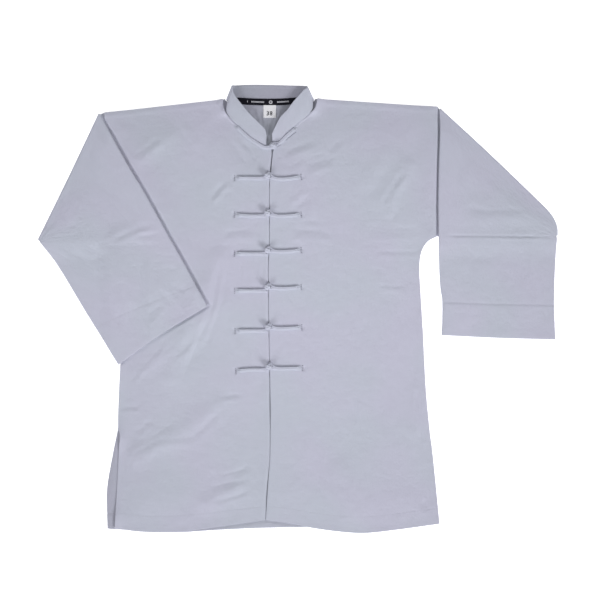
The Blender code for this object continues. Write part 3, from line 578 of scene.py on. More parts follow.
def side_edge(xs, hem_corner, armpit, tip, vs):
    """The places of one side of a panel at shares of its height."""
    lower_points = [hem_corner, *zip(xs, SIDE_Y), armpit]
    lower = route(lower_points, np.clip(vs / ARMHOLE_SHARE, 0, 1))
    upper = route([armpit, tip], np.clip((vs - ARMHOLE_SHARE) / (1 - ARMHOLE_SHARE), 0, 1))
    return np.where((vs < ARMHOLE_SHARE)[:, None], lower, upper)


def body_outline():
    """The closed edge of both fronts together on the plan."""
    rows = np.linspace(0, 1, 28)
    left = side_edge(FRONT_LEFT, LEFT_HEM[0], ARMPIT_LEFT, TIP_LEFT, rows)
    right = side_edge(RIGHT_SIDE, RIGHT_HEM[-1], ARMPIT_RIGHT, TIP_RIGHT, rows)
    neck = np.array(LEFT_NECK + RIGHT_NECK[::-1], float)
    hem = np.array(LEFT_HEM + RIGHT_HEM, float)
    return np.vstack([left, neck, right[::-1], hem[::-1][1:-1]])


BODY_OUTLINE = body_outline()


def cloth_settings():
    """The user's settings for the cotton."""
    return bpy.context.scene.jacket_cloth


def knot_x(y):
    """How far along the knots of the frogs lie at a height."""
    return float(np.interp(y, [place[1] for place in KNOT_LINE], [place[0] for place in KNOT_LINE]))


def frog_dents():
    """Short troughs outside the frogs' ends, where the sewing pulls the cloth down."""
    dents = []
    for row in FROG_TABLE:
        middle = knot_x(row.knot_y)
        for side, y in ((-1, row.knot_y + row.knot_rise), (1, row.loop_y + row.loop_rise)):
            x = middle + side * (FROG_HALF_LENGTH + 2.4)
            dents.append(Crease(-1.5, 1.9, ((x, y - 6), (x + side * 0.7, y), (x - side * 0.3, y + 5.5))))
    return tuple(dents)


def drape(points, rows, seed):
    """Creases and slight unevenness that a laid cloth has."""
    settings = cloth_settings()
    height = settings.crease_strength * crease_height(points, rows)
    waves = sum(share * ripple(points, size, seed + step) for share, size, step in UNEVEN_WAVES)
    return height + settings.unevenness / MM * waves


def front_underside(points):
    """Height of the fronts' underside above the surface."""
    inside = np.maximum(0.0, distance_inside(points, BODY_OUTLINE))
    lift = LOFT * smooth(inside / LOFT_REACH)
    lift += fold_height(points, BODY_FOLDS) * smooth(inside / FOLD_FADE)
    lift += drape(points, BODY_CREASES + frog_dents(), 3.0) * smooth(inside / 12.0)
    return CLOTH + SEAM_GAP + np.maximum(lift, 0.0)


def front_top(points):
    """Height of the fronts' right side above the surface."""
    return front_underside(points) + CLOTH


def three(points, heights):
    """Places in space from places on the plan and their heights."""
    return np.concatenate([points, np.broadcast_to(heights, points.shape[:-1])[..., None]], -1)


def closed_wall(outer, inner, wrap):
    """Vertices, faces and grid places of a wall with rounded edges, wrapped round if it is a tube."""
    rows, columns = outer.shape[:2]
    count = rows * columns
    ids = np.arange(count).reshape(rows, columns)
    across = np.roll(ids, -1, axis=1) if wrap else ids[:, 1:]
    here = ids if wrap else ids[:, :-1]
    quads = np.stack([here[:-1], across[:-1], across[1:], here[1:]], -1).reshape(-1, 4)
    faces = [quads, quads[:, ::-1] + count]
    j, i = np.arange(columns), np.arange(rows)
    if wrap:
        loops = [[(0, n) for n in j], [(rows - 1, n) for n in j[::-1]]]
    else:
        loops = [
            [(0, n) for n in j[:-1]] + [(n, columns - 1) for n in i[:-1]]
            + [(rows - 1, n) for n in j[:0:-1]] + [(n, 0) for n in i[:0:-1]]
        ]
    vertices = [outer.reshape(-1, 3), inner.reshape(-1, 3)]
    source = [np.arange(count), np.arange(count)]
    next_id = 2 * count
    for loop in loops:
        a_index = np.array(loop)
        inward = np.clip(a_index, 1, [rows - 2, columns - 2])
        if wrap:
            inward[:, 1] = a_index[:, 1]
        a = outer[a_index[:, 0], a_index[:, 1]]
        b = inner[a_index[:, 0], a_index[:, 1]]
        outward = a - outer[inward[:, 0], inward[:, 1]]
        middle, arm = (a + b) / 2, (a - b) / 2
        half = np.linalg.norm(arm, axis=1, keepdims=True)
        outward -= arm * (outward * arm).sum(1, keepdims=True) / np.maximum(half**2, 1e-9)
        outward /= np.maximum(np.linalg.norm(outward, axis=1, keepdims=True), 1e-9)
        flat_ids = a_index[:, 0] * columns + a_index[:, 1]
        rings = [flat_ids]
        for angle in np.radians(WALL_ANGLES):
            vertices.append(middle + arm * math.cos(angle) + outward * half * math.sin(angle))
            source.append(flat_ids)
            rings.append(np.arange(next_id, next_id + len(loop)))
            next_id += len(loop)
        rings.append(flat_ids + count)
        for first, second in zip(rings, rings[1:]):
            faces.append(np.stack([np.roll(first, -1), first, second, np.roll(second, -1)], -1))
    return np.vstack(vertices), np.vstack(faces), np.concatenate(source)


def add_mark(mesh, name, values):
    """A number at each vertex, or a place if the values are triples."""
    kind, field = ("FLOAT", "value") if values.ndim == 1 else ("FLOAT_VECTOR", "vector")
    mesh.attributes.new(name, kind, "POINT").data.foreach_set(field, values.astype(np.float32).ravel())


def new_object(name, data):
    """An object in the scene from a mesh, text, light or camera."""
    made = bpy.data.objects.new(name, data)
    bpy.context.collection.objects.link(made)
    return made


def plain_copy(guide, name):
    """The mesh that a text or a line with its modifier gives, as a piece that rides on the jacket."""
    bpy.context.view_layer.update()
    mesh = bpy.data.meshes.new_from_object(guide.evaluated_get(bpy.context.evaluated_depsgraph_get()))
    bpy.data.objects.remove(guide)
    mesh.name = name
    piece = new_object(name, mesh)
    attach(piece, "root")
    return piece


def new_piece(name, vertices, faces, cloth, material, node, slot="grey_cotton"):
    """A finished piece that rides on the jacket and stands for its solid."""
    sides = vertices[faces]
    volume = np.einsum("ij,ij->i", sides[:, 0], np.cross(sides[:, 1], sides[:, 2])).sum()
    volume += np.einsum("ij,ij->i", sides[:, 0], np.cross(sides[:, 2], sides[:, 3])).sum()
    polygons = [face[:3] if face[2] == face[3] else face for face in faces.tolist()]
    if volume < 0:
        polygons = [face[::-1] for face in polygons]
    mesh = bpy.data.meshes.new(name)
    mesh.from_pydata((vertices * MM).tolist(), [], polygons)
    add_mark(mesh, "cloth", cloth * MM)
    mesh.shade_smooth()
    mesh.materials.append(material)
    piece = new_object(name, mesh)
    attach(piece, "root")
    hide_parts(node)
    return piece


def new_sheet(name, grids, cloth, material, node, slot="grey_cotton", wrap=False, wrong_side=0, rim=0.5):
    """A cloth piece. Its first grid is its right side if the mark is 0, and its wrong side if 1. The mark
    darkens the cotton: it holds the wrong side's tone, and painted shade where it is set to other values; rim
    sets it on the rounded edges.
    """
    vertices, faces, source = closed_wall(*grids, wrap)
    piece = new_piece(name, vertices, faces, cloth.reshape(-1, 3)[source], material, node, slot)
    count = cloth.shape[0] * cloth.shape[1]
    # The mark is the wrong side's tone plus painted shade; rim sets it on the rounded edges, where one paints
    # them as dark as the wrong side.
    inside = np.full(len(vertices), float(rim))
    inside[:count], inside[count:2 * count] = wrong_side, 1 - wrong_side
    add_mark(piece.data, "wrong_side", inside)
    return piece


def inset_edges(points, distance):
    """Draws a grid's outermost places in, to make room for a round edge."""
    moved = points.copy()
    for edge, inner in ((0, 1), (-1, -2)):
        moved[edge] = points[edge] + unit(points[inner] - points[edge]) * distance
    result = moved.copy()
    for edge, inner in ((0, 1), (-1, -2)):
        result[:, edge] = moved[:, edge] + unit(moved[:, inner] - moved[:, edge]) * distance
    return result


def shares(length, fine_start, fine_step, coarse_step, fine_end):
    """Shares of a length: fine steps near its ends, coarser between them."""
    stops = (0.0, fine_start, length - fine_end, length)
    steps = (fine_step, coarse_step, fine_step)
    parts = [
        np.linspace(a, b, max(1, round((b - a) / step)), endpoint=False)
        for a, b, step in zip(stops, stops[1:], steps) if b > a
    ]
    return np.append(np.concatenate(parts) / length, 1.0)


def stitched_hem(distance, depth, pucker, relief=1.0):
    """Extra thickness of a turned hem, with the groove of its stitching."""
    layer = HEM_EXTRA * smooth((depth + 1.5 - distance) / 3.0)
    groove = GROOVE_DEPTH * bell(distance - depth, GROOVE_WIDTH)
    return relief * (layer - groove + 0.16 * pucker * bell(distance - depth, 9.0))


def pucker_wave(run, seed):
    """Uneven little waves along a row of stitches."""
    return np.sin(run / 2.9 + 1.7 * np.sin(run / 23.0 + seed)) * (0.6 + 0.4 * np.sin(run / 31.0 + 2 * seed))


def edge_wear(us, vs, width_u, width_v):
    """Closeness to the edges of a grid, from nought inside to one at an edge."""
    from_u = np.minimum(us, 1 - us)[None, :] / width_u
    from_v = np.minimum(vs, 1 - vs)[:, None] / width_v
    return 1 - smooth(np.minimum(from_u, from_v))


def panel_cloth(points, us, vs):
    """Cloth places of a panel: along the plan, with closeness to its edges."""
    return np.concatenate([points, edge_wear(us, vs, 0.02, 0.012)[..., None]], -1)


def build_back(material):
    """The back, which shows at the neck, below the fronts and at the side vent."""
    vs = shares(*BACK_STEPS)
    shoulder = np.linspace(0, 1, SHOULDER_COLUMNS + 1)
    neck_run = np.linspace(0, 1, NECK_COLUMNS + 1)[:-1]
    us = np.concatenate([shoulder[:-1] / 3, (1 + neck_run) / 3, (2 + shoulder) / 3])
    left = side_edge(BACK_LEFT, BACK_HEM[0], ARMPIT_LEFT, TIP_LEFT, vs)
    right = side_edge(RIGHT_SIDE, BACK_HEM[-1], ARMPIT_RIGHT, TIP_RIGHT, vs)
    top = np.vstack([
        route([TIP_LEFT, NECK_POINT_LEFT], shoulder[:-1]),
        route((NECK_POINT_LEFT, *BACK_NECK, NECK_POINT_RIGHT), neck_run),
        route([NECK_POINT_RIGHT, TIP_RIGHT], shoulder),
    ])
    points = inset_edges(patch(route(BACK_HEM, us), top, left, right, us, vs), CLOTH / 2)
    x, y = points[..., 0], points[..., 1]
    low = np.zeros(x.shape)
    high = low + CLOTH
    # Gathers below the neck tape, where no front lies over the back.
    open_neck = -distance_inside(points, BODY_OUTLINE)
    shown = smooth((open_neck - 1.0) / 6.0) * smooth((GATHERS_TOP - y) / 5.0)
    gathers = crease_height(points, NECK_GATHERS) + GATHER_RIPPLE * ripple(points, 9.0, 1.0)
    high += shown * np.maximum(0.0, GATHER_LOFT + gathers)
    # The strip outside the vent rises a little, and so does the hem.
    outside = smooth((open_neck - 0.5) / 3.0) * (y < BELOW_SLEEVES)
    high += outside * 0.35 * (1 + ripple(points, 30.0, 4.0))
    high += outside * stitched_hem(vs[:, None] * BACK_LENGTH, HEM_DEPTH, pucker_wave(x, 2.0))
    grids = three(points, high), three(points, low)
    at_hem = smooth((x - OPEN_HEM[0]) / 60.0) * smooth((OPEN_HEM[1] - y) / 50.0)
    at_vent = (x < VENT_X) * (y < BELOW_SLEEVES)
    fold_x, fold_y, slant, fold_end = FOLD_SHADOW
    below_fold = smooth((x - fold_x - slant * (y - fold_y)) / 8.0) * (y > fold_end)
    # Painted shade on the back's wrong side: most inside the neck and in the painted shadow of the collar's
    # fold, less at the hem and the vent.
    deep = NECK_SHADE - HEM_SHADE * at_hem - VENT_SHADE * at_vent + FOLD_SHADE * below_fold
    marks = panel_cloth(points, us, vs)
    piece = new_sheet("back_cloth", grids, marks, material, "back_panel", wrong_side=deep.ravel())
    return piece, hem_stitches(grids[0], vs * BACK_LENGTH)


def hem_stitches(outer, distances):
    """The line of a hem's stitching, as the one line to sew."""
    return [outer[int(np.argmin(np.abs(distances - HEM_DEPTH))), 3:-3]]


def sleeve_banks(points):
    """How much the fronts' cloth stands up beside the sleeves that lie on it."""
    total = np.zeros(points.shape[:-1])
    for plan in SLEEVE_PLANS:
        there = (plan.fold, plan.upper_far, plan.lower_far)
        back = (plan.cuff[::-1], plan.lower_near[::-1], plan.upper_near[::-1])
        outline = np.array([place for line in there + back for place in line[:-1]], float)
        outside = -distance_inside(points, outline)
        nearer = ARMHOLE_NEARER[plan.name]
        middle = nearer * bell(points[..., 1] - ARMHOLE_Y, ARMHOLE_HALF)
        rise = smooth((outside - BANK_START + nearer) / (BANK_SLOPE + nearer + middle))
        rise = (1 + ARMHOLE_HIGHER * middle) * rise * bell(outside, BANK_REACH)
        # The bank is lower beside the cuff, and lowest along the outer half of it.
        from_cuff, along_cuff = distance_to(points, np.array(plan.cuff, float))
        share = 0.3 + 0.6 * smooth((along_cuff - 0.2) / 0.5) - 0.5 * smooth((along_cuff - 0.9) / 0.1)
        less = share * smooth(1.3 - from_cuff / (14.0 + 30.0 * along_cuff))
        total = np.maximum(total, BANK_HEIGHT * rise * (1 - less))
    return total


def opening_half_gap(y):
    """Half the width of the opening, which gapes below the throat and beside the knots."""
    half = LEAST_GAP + THROAT_GAP * smooth((y - THROAT_Y) / 6)
    for middle, reach, extra in GAPES:
        half = half + extra * bell(y - middle, reach)
    for row in FROG_TABLE:
        for above, reach, extra in KNOT_GAPES:
            half = half + extra * bell(y - (row.knot_y + row.loop_y) / 2 - above, reach)
    return half


def front_grid(xs, hem, neck, armpit, tip, side):
    """The plan places of one front, from its hem to the shoulder and neck."""
    vs, us = shares(*FRONT_UP_STEPS), shares(*FRONT_ACROSS_STEPS)
    # A hem's places run towards +X, and the grid runs from the side seam to the opening.
    hem_points = [*hem[::-side]]
    outer = side_edge(xs, hem_points[0], armpit, tip, vs)
    inner = route(OPENING, vs)
    inner[:, 0] += side * opening_half_gap(inner[:, 1])
    shoulder = route([tip, neck[0]], np.clip(2 * us, 0, 1))
    neck_line = route([*neck[:-1], inner[-1]], np.clip(2 * us - 1, 0, 1))
    top = np.where((us < 0.5)[:, None], shoulder, neck_line)
    hem_points[-1] = inner[0]
    return patch(route(hem_points, us), top, outer, inner, us, vs), us, vs


def build_front(name, node, edges, side, material):
    """One front and its hem's stitching. The side is -1 for the wearer's right and 1 for the left."""
    points, us, vs = front_grid(*edges, side)
    points = inset_edges(points, CLOTH / 2)
    x, y = points[..., 0], points[..., 1]
    low = front_underside(points)
    high = low + CLOTH
    high += stitched_hem(vs[:, None] * FRONT_LENGTH, HEM_DEPTH, pucker_wave(x, 1.0 + side), 0.22)
    # The turned edge at the opening, which stands up more on the wearer's right.
    from_opening = (1 - us)[None, :] * FRONT_WIDTH
    roll = smooth((26.0 - from_opening) / 23.0) - 1.15 * smooth((3.6 - from_opening) / 3.6)
    roll = EDGE_ROLLS[side] * roll * (0.8 + 0.3 * ripple(points, 55.0, 21.0 + side))
    # The cloth stands up beside the collar's folds.
    from_fold, _ = distance_to(points, np.array(edges[2][:3], float))
    roll = roll + COLLAR_BANK * bell(from_fold, 9.0) * smooth((y - 350.0) / 14.0)
    # The seam allowance along the neck and shoulder lies under the cloth there.
    from_top = (1 - vs)[:, None] * SEAM_LENGTH
    on_neck = smooth((us[None, :] - 0.5) / 0.03)
    seam_ridge = 1.1 * on_neck * bell(from_top - 3.7, 1.6)
    high += roll + seam_ridge + 0.5 * (1 - on_neck) * bell(from_top - 7.0, 4.5)
    low += np.maximum(0.7 * roll, -0.3)
    bank = sleeve_banks(points)
    if side < 0:
        # The edge of the side vent stands up at its top and at the hem.
        ends = sum(bell(y - end, reach) for end, reach in VENT_ENDS)
        bank = bank + VENT_BANK * ends * bell(us[None, :] * FRONT_WIDTH, 11.0)
    grids = three(points, high + bank), three(points, low + bank)
    piece = new_sheet(name, grids, panel_cloth(points, us, vs), material, node)
    return piece, hem_stitches(grids[0], vs * FRONT_LENGTH)


def tube_section(columns, inset):
    """One loop round a flattened tube: edge or column, distance in, height."""
    radius = SLEEVE_HEIGHT / 2 - inset
    angles = np.radians([0, 30, 60, 90])
    distance = inset + radius * (1 - np.cos(angles))
    rise = radius * np.sin(angles)
    inner = np.arange(1, columns)
    none = np.zeros(len(inner))
    column = np.concatenate([np.zeros(4), inner, np.full(7, columns), inner[::-1], np.zeros(3)]).astype(int)
    into = np.concatenate([distance, none, distance[::-1], distance[1:], none, distance[:0:-1]])
    height = np.concatenate([rise, none + radius, rise[::-1], -rise[1:], none - radius, -rise[:0:-1]])
    return column, into, SLEEVE_HEIGHT / 2 + height


def loop_places(lines, columns, column, into):
    """Where each loop point lies on the plan, for every line across the sleeve."""
    near, far = unit(lines[:, 1] - lines[:, 0]), unit(lines[:, -2] - lines[:, -1])
    toward = np.where((column == 0)[None, :, None], near[:, None], far[:, None])
    at_edge = (column == 0) | (column == columns)
    return lines[:, column] + toward * (into * at_edge)[None, :, None]


def sleeve_support(points, wedge):
    """Height at which a folded-over sleeve lies on its own start and the body."""
    outside = -distance_inside(points, wedge)
    height = (SLEEVE_HEIGHT + STACK_GAP) * smooth(1 - (outside - 2.0) / WEDGE_SLOPE)
    inside_body = distance_inside(points, BODY_OUTLINE)
    near = inside_body > -SLOPE_REACH - SLOPE_MARGIN
    around = [(0, 0), (9, 0), (-9, 0), (0, 9), (0, -9)]
    body = np.max([front_top(points[near] + np.array(step)) for step in around], axis=0)
    body = (body + STACK_GAP) * smooth(1 + (inside_body[near] + SLOPE_MARGIN) / SLOPE_REACH)
    height[near] = np.maximum(height[near], body)
    return height


def build_sleeve(plan, rows, seed, cuff_relief, material):
    """A flattened tube that starts on the surface and is folded over on top."""
    columns, half = SLEEVE_COLUMNS, SLEEVE_COLUMNS // 2
    us = np.linspace(0, 1, columns + 1)
    armhole, fold = route(plan.armhole, us), route(plan.fold, us)
    armhole = armhole + unit(route(plan.fold, [0.5])[0] - armhole[half]) * SEAM_GAP
    wedge_vs = np.linspace(0, 1, 22)
    near = route([armhole[0], fold[0]], wedge_vs)
    far = route([armhole[-1], fold[-1]], wedge_vs)
    wedge = patch(armhole, fold, near, far, us, wedge_vs)
    wedge_outline = np.vstack([armhole[::8], fold[::-8]])
    normals = unit(left_of(np.gradient(fold, axis=0)))
    facing = (normals * (fold - armhole[half])).sum(1, keepdims=True)
    normals *= np.where(facing < 0, -1, 1)
    ridge, cuff = route(plan.ridge, us), route(plan.cuff, us)
    upper_vs, lower_vs = 1 - shares(*UPPER_SLEEVE_STEPS)[::-1], shares(*LOWER_SLEEVE_STEPS)
    upper_sides = [route(line, upper_vs) for line in (plan.upper_near, plan.upper_far)]
    lower_sides = [route(line, lower_vs) for line in (plan.lower_near, plan.lower_far)]
    lower = patch(ridge, cuff, *lower_sides, us, lower_vs)
    top_lines = np.concatenate([patch(fold, ridge, *upper_sides, us, upper_vs), lower[1:]])
    full = np.ones(len(lower_vs) - 1)
    puff_share = np.concatenate([smooth(2 * upper_vs), full])[:, None]
    lift_share = np.concatenate([smooth(5 * upper_vs), full])[:, None]
    from_cuff = (1 - lower_vs[1:]) * np.linalg.norm(ridge[half] - cuff[half])
    cuff_distance = np.concatenate([np.full(len(upper_vs), FAR_AWAY), from_cuff])[:, None]
    turn = np.radians(np.linspace(0, 180, 12))[1:-1]
    grids = []
    for inset in (0.0, CLOTH):
        column, into, height = tube_section(columns, inset)
        start = three(loop_places(wedge, columns, column, into), height[None, :])
        fold_place = loop_places(fold[None], columns, column, into)[0]
        radius = FOLD_AXIS_HEIGHT - height
        turned = [
            three(fold_place + normals[column] * (radius * math.sin(a))[:, None],
                  FOLD_AXIS_HEIGHT - radius * math.cos(a))
            for a in turn
        ]
        places = loop_places(top_lines, columns, column, into)
        across = np.sin(np.pi * column / columns)
        z = sleeve_support(places, wedge_outline) + SLEEVE_HEIGHT - height
        z += lift_share * NEAR_LIFT * smooth(1 - column / (columns * NEAR_SHARE))
        upper_side = height < SLEEVE_HEIGHT / 2
        puff = SLEEVE_PUFF * across + across * fold_height(places, SLEEVE_FOLDS)
        soft = smooth(6 * np.minimum(column / columns, 1 - column / columns))
        z += upper_side * puff_share * (puff + soft * drape(places, rows, seed))
        if inset == 0:
            pucker = pucker_wave(us[column] * SLEEVE_WIDTH, seed)
            z += cuff_relief * upper_side * (across > 0) * stitched_hem(cuff_distance, CUFF_DEPTH, pucker)
        grids.append(np.concatenate([start, np.array(turned), three(places, z)]))
    outer = grids[0]
    width = np.broadcast_to(us[column] * SLEEVE_WIDTH, outer.shape[:2])
    run = np.broadcast_to(lengths_along(outer[:, half])[:, None], width.shape)
    wear = np.broadcast_to(1 - smooth(np.minimum(us[column], 1 - us[column]) / 0.03), width.shape)
    cloth = np.stack([width, run, wear], -1)
    # rim=1 paints the sleeve's rounded edges as dark as its wrong side, a painted shade that dims their lit
    # edges.
    piece = new_sheet(plan.name + "_cloth", grids, cloth, material, plan.name, wrap=True, rim=1)
    row = len(outer) - 1 - int(np.argmin(np.abs(cuff_distance[::-1, 0] - CUFF_DEPTH)))
    return piece, outer[row, np.nonzero(upper_side)[0][3:-3]]


def collar_sections():
    """Seam edge, top edge and inner side of the band at each station."""
    up = np.array([0.0, 0.0, 1.0])

    def plain(rows, inward):
        return [
            [(row.seam_x, row.seam_y, row.seam_lift), (row.top_x, row.top_y, row.top_lift), inward]
            for row in rows
        ]

    def turned(row, side):
        """The sections round a fold, where the back of the band turns over to the front."""
        seam, top = np.array([row.seam_x, row.seam_y, 0.0]), np.array([row.top_x, row.top_y, 0.0])
        outward = np.append(left_of(unit(top - seam)), 0.0) * -side
        slide = np.array([COLLAR_TIP_SLIDE[0] * side, COLLAR_TIP_SLIDE[1], 0.0])
        result = []
        for angle, share in zip(np.radians(COLLAR_FOLD_ANGLES), COLLAR_TIP_SHARES):
            ends, faces = [], []
            for base, out, radius in (
                (seam, outward, COLLAR_FOLD_SEAM_RADIUS),
                (top + share * slide, np.array([side, 0.0, 0.0]), COLLAR_FOLD_TOP_RADIUS),
            ):
                facing = out * math.sin(angle) - up * math.cos(angle)
                ends.append(base + up * (COLLAR_WALL / 2 + radius) + facing * radius)
                faces.append(facing)
            result.append([*ends, -sum(faces)])
        return result

    sections = plain(COLLAR_LEFT, -up) + turned(COLLAR_BACK[0], -1)[::-1] + plain(COLLAR_BACK[1:-1], up)
    sections += turned(COLLAR_BACK[-1], 1) + plain(COLLAR_RIGHT, -up)
    return np.array([np.concatenate(section) for section in sections])


def build_collar(material):
    """The stand-up band, folded at both sides of the neck, and its lines of stitching."""
    rows = curve_through(collar_sections(), 12, even=True)
    seam, top, inward = rows[:, :3], rows[:, 3:6], unit(rows[:, 6:])
    heights = shares(*COLLAR_STEPS)
    s = heights[None, :, None]
    run = lengths_along(seam)[:, None]
    bow = 0.5 * np.sin(np.pi * s)
    wave = 0.35 * np.sin(run / 17.0 + 4 * heights) * np.sin(np.pi * heights)
    off_surface = smooth(-inward[:, 2:])[:, None]
    middle = (1 - s) * seam[:, None] + s * top[:, None]
    middle = middle - inward[:, None] * off_surface * (bow + wave[..., None])
    # The sewn-in edges make the band thinner along its seam line and fuller at the top.
    fullness = 1 - 0.16 * bell(heights - COLLAR_TOP_SEWING, 0.03) - 0.35 * smooth((0.1 - heights) / 0.1)
    half = inward[:, None] * (COLLAR_WALL / 2 * fullness)[None, :, None]
    outer, inner = middle - half, middle + half
    wear = np.broadcast_to(1 - smooth(np.minimum(heights, 1 - heights) / 0.12), outer.shape[:2])
    width = np.broadcast_to(heights * COLLAR_HEIGHT, wear.shape)
    cloth = np.stack([np.broadcast_to(run, wear.shape), width, wear], -1)
    # Painted shade: the band's outer side is marked 0.15 and its inner side 0.85, which paints its inside
    # darker as the shade in the neck.
    piece = new_sheet("collar_cloth", (outer, inner), cloth, material, "collar", wrong_side=0.15)
    sewn = [int(np.argmin(np.abs(heights - height))) for height in (COLLAR_SEWING, COLLAR_TOP_SEWING)]
    return piece, [grid[:, column] for column in sewn for grid in (outer, inner)]


def build_tape(material):
    """The woven tape that covers the back neck seam, stepping down on to the back."""
    xs = np.linspace(TAPE_LEFT, TAPE_RIGHT, 72)
    seam = route(BACK_NECK, np.linspace(0, 1, 200))
    ys = np.interp(xs, seam[:, 0], seam[:, 1])
    offsets = np.array([*np.array([1, 0.75, 0.5, 0.25]) * TAPE_ABOVE, 0.6, -0.4, -1.3, -TAPE_BELOW])
    drops = np.array([0, 0, 0, 0, 0, 0.35, 0.8, 0.8])
    lifts = np.maximum(COLLAR_WALL + SEAM_GAP - drops, CLOTH + SEAM_GAP)
    points = np.stack([xs[:, None] * np.ones(len(offsets)), ys[:, None] + offsets], -1)
    low = three(points, lifts[None] + 0.12 * ripple(points, 9.0, 5.0))
    high = low + np.array([0, 0, TAPE_WALL])
    run = np.broadcast_to((xs - TAPE_LEFT)[:, None], points.shape[:2])
    width = np.broadcast_to(offsets + TAPE_BELOW, points.shape[:2])
    cloth = np.stack([run, width, np.zeros(run.shape)], -1)
    piece = new_sheet("neck_tape_woven", (high, low), cloth, material, "neck_tape", slot="black_tape")
    return piece, [high[:, 0] - (0, 1.0, 0), high[:, -1] + (0, 0.9, 0)]


def build_label(material):
    """The little folded size label below the tape."""
    steps = np.linspace(0, 1, 22)
    xs, ys = LABEL_CENTRE_X + LABEL_SIDE * (steps - 0.5), LABEL_TOP - LABEL_SIDE * (1 - steps)
    points = np.stack(np.meshgrid(xs, ys), -1)
    lift = 0.5 * (1 - steps[:, None]) ** 2 * (0.5 + np.cos(3 * np.pi * steps[None]) / 2)
    low = CLOTH + SEAM_GAP + 0.6 + lift + 0.15 * ripple(points, 8.0, 2.0)
    grids = three(points, low + LABEL_WALL), three(points, low)
    cloth = np.concatenate([points - points[0, 0], edge_wear(steps, steps, 0.06, 0.06)[..., None]], -1)
    piece = new_sheet("size_label_woven", grids, cloth, material, "size_label", slot="white_label")
    return piece, grids[0]


def numerals(text, place, material):
    """Plain figures, woven into the label."""
    curve = bpy.data.curves.new("figures", "FONT")
    curve.body = text
    curve.size = FIGURE_HEIGHT * MM * 1.38
    curve.space_character = 1.15
    curve.align_x, curve.align_y = "CENTER", "CENTER"
    curve.extrude = 0.00025
    curve.offset = 0.00012
    figures = plain_copy(new_object("figures", curve), "label_figures")
    figures.data.transform(Matrix.Translation(place * MM))
    figures.data.materials.clear()
    figures.data.materials.append(material)
    return figures


def tube(path, radius, closed, sides=12, flatten=1.0):
    """The grid of a cord: rings of places along its path, and cloth places."""
    flatten = np.broadcast_to(flatten, len(path))[:, None, None]
    along = np.roll(path, -1, axis=0) - np.roll(path, 1, axis=0) if closed else np.gradient(path, axis=0)
    along = unit(along)
    across = np.cross(along, (0.0, 0.0, 1.0))
    short = np.linalg.norm(across, axis=1, keepdims=True)
    across = np.where(short > 1e-3, across / np.maximum(short, 1e-9), (1.0, 0.0, 0.0))
    up = np.cross(across, along)
    angle = np.linspace(0, 2 * np.pi, sides, endpoint=False)[None, :, None]
    rings = path[:, None] + radius * (across[:, None] * np.cos(angle) + flatten * up[:, None] * np.sin(angle))
    run = lengths_along(path)[:, None] * np.ones(sides)
    around = np.linspace(0, 2 * np.pi * radius, sides, endpoint=False) * np.ones((len(path), 1))
    return rings, np.stack([run, around, np.zeros(run.shape)], -1), closed


def new_cord(name, parts, material):
    """A frog's half from several cord grids."""
    vertices, faces, cloths = [], [], []
    total = 0
    for rings, cloth, closed in parts:
        count, sides = rings.shape[:2]
        ids = np.arange(count * sides).reshape(count, sides) + total
        ahead = np.roll(ids, -1, axis=0) if closed else ids[1:]
        here = ids if closed else ids[:-1]
        quads = np.stack([here, np.roll(here, -1, 1), np.roll(ahead, -1, 1), ahead], -1)
        faces.append(quads.reshape(-1, 4))
        vertices.append(rings.reshape(-1, 3))
        cloths.append(cloth.reshape(-1, 3))
        total += count * sides
        if not closed:
            # Each open end gets a fan of triangles round its middle.
            for end, ring in ((0, ids[0][::-1]), (-1, ids[-1])):
                vertices.append(rings[end].mean(0, keepdims=True))
                cloths.append(cloth[end, :1])
                middle = np.full(sides, total)
                faces.append(np.stack([ring, np.roll(ring, -1), middle, middle], -1))
                total += 1
    grids = np.vstack(vertices), np.vstack(faces), np.vstack(cloths)
    return new_piece(name + "_cord", *grids, material, name)


def laid_cord(shape, half_route, rise=0.0, closed=False):
    """The grid of a cord on the fronts, which is pressed flat where its end is sewn down."""
    steps = np.linspace(0, 1, 120)
    line = route(half_route, steps)
    length = lengths_along(line)[-1]
    _, share = distance_to(shape, line)
    below = np.interp(share, steps, line[:, 1]) - shape[:, 1]
    lower = smooth(0.5 + 0.5 * below / CORD_RADIUS) * smooth((share * length - 8.0) / 6.0)
    press = (1 - END_PRESS * smooth((share * length - length + 9.0) / 5.0)) * (1 - LOWER_PRESS * lower)
    height = front_top(shape) + REST_GAP - 0.25 + CORD_RADIUS * press + rise
    return tube(three(shape, height), CORD_RADIUS, closed, flatten=press)


def bar_filler(half_route, start_distance):
    """The sewing allowance that fills the groove between a bar's two cords."""
    length = lengths_along(route(half_route, np.linspace(0, 1, 60)))[-1]
    run = np.linspace(start_distance, length - 3.0, 60)
    line = route(half_route, run / length)
    height = front_top(line) + REST_GAP + CORD_RADIUS * 0.95
    height -= 1.6 * CORD_RADIUS * END_PRESS * smooth((run - length + 9.0) / 5.0)
    return tube(three(line - (0, 0.3), height), FILLER_RADIUS, False, 10)


def bar_route(half_route, start_distance):
    """Both cords of a frog's bar: from its middle out, round its end, and back."""
    line = route(half_route, np.linspace(0, 1, 121))
    length = lengths_along(line)[-1]

    def at(distance, offset):
        """Places at distances along the bar, and offset to the left of it."""
        behind, place, ahead = (
            route(line, np.clip((distance + step) / length, 0, 1), samples=1) for step in (-0.5, 0.0, 0.5)
        )
        return place + left_of(unit(ahead - behind)) * offset[:, None]

    half = np.full(10, CORD_RADIUS + SEAM_GAP / 2)
    eye = length - EYE_RADIUS - CORD_RADIUS - 1.2
    stops = np.linspace(start_distance, eye - 6, 10)
    angle = np.pi * (0.5 - np.linspace(0, 1, 11))
    turn = at(eye + EYE_RADIUS * np.cos(angle), EYE_RADIUS * np.sin(angle))
    return np.vstack([at(stops, half), turn, at(stops[::-1], -half)])


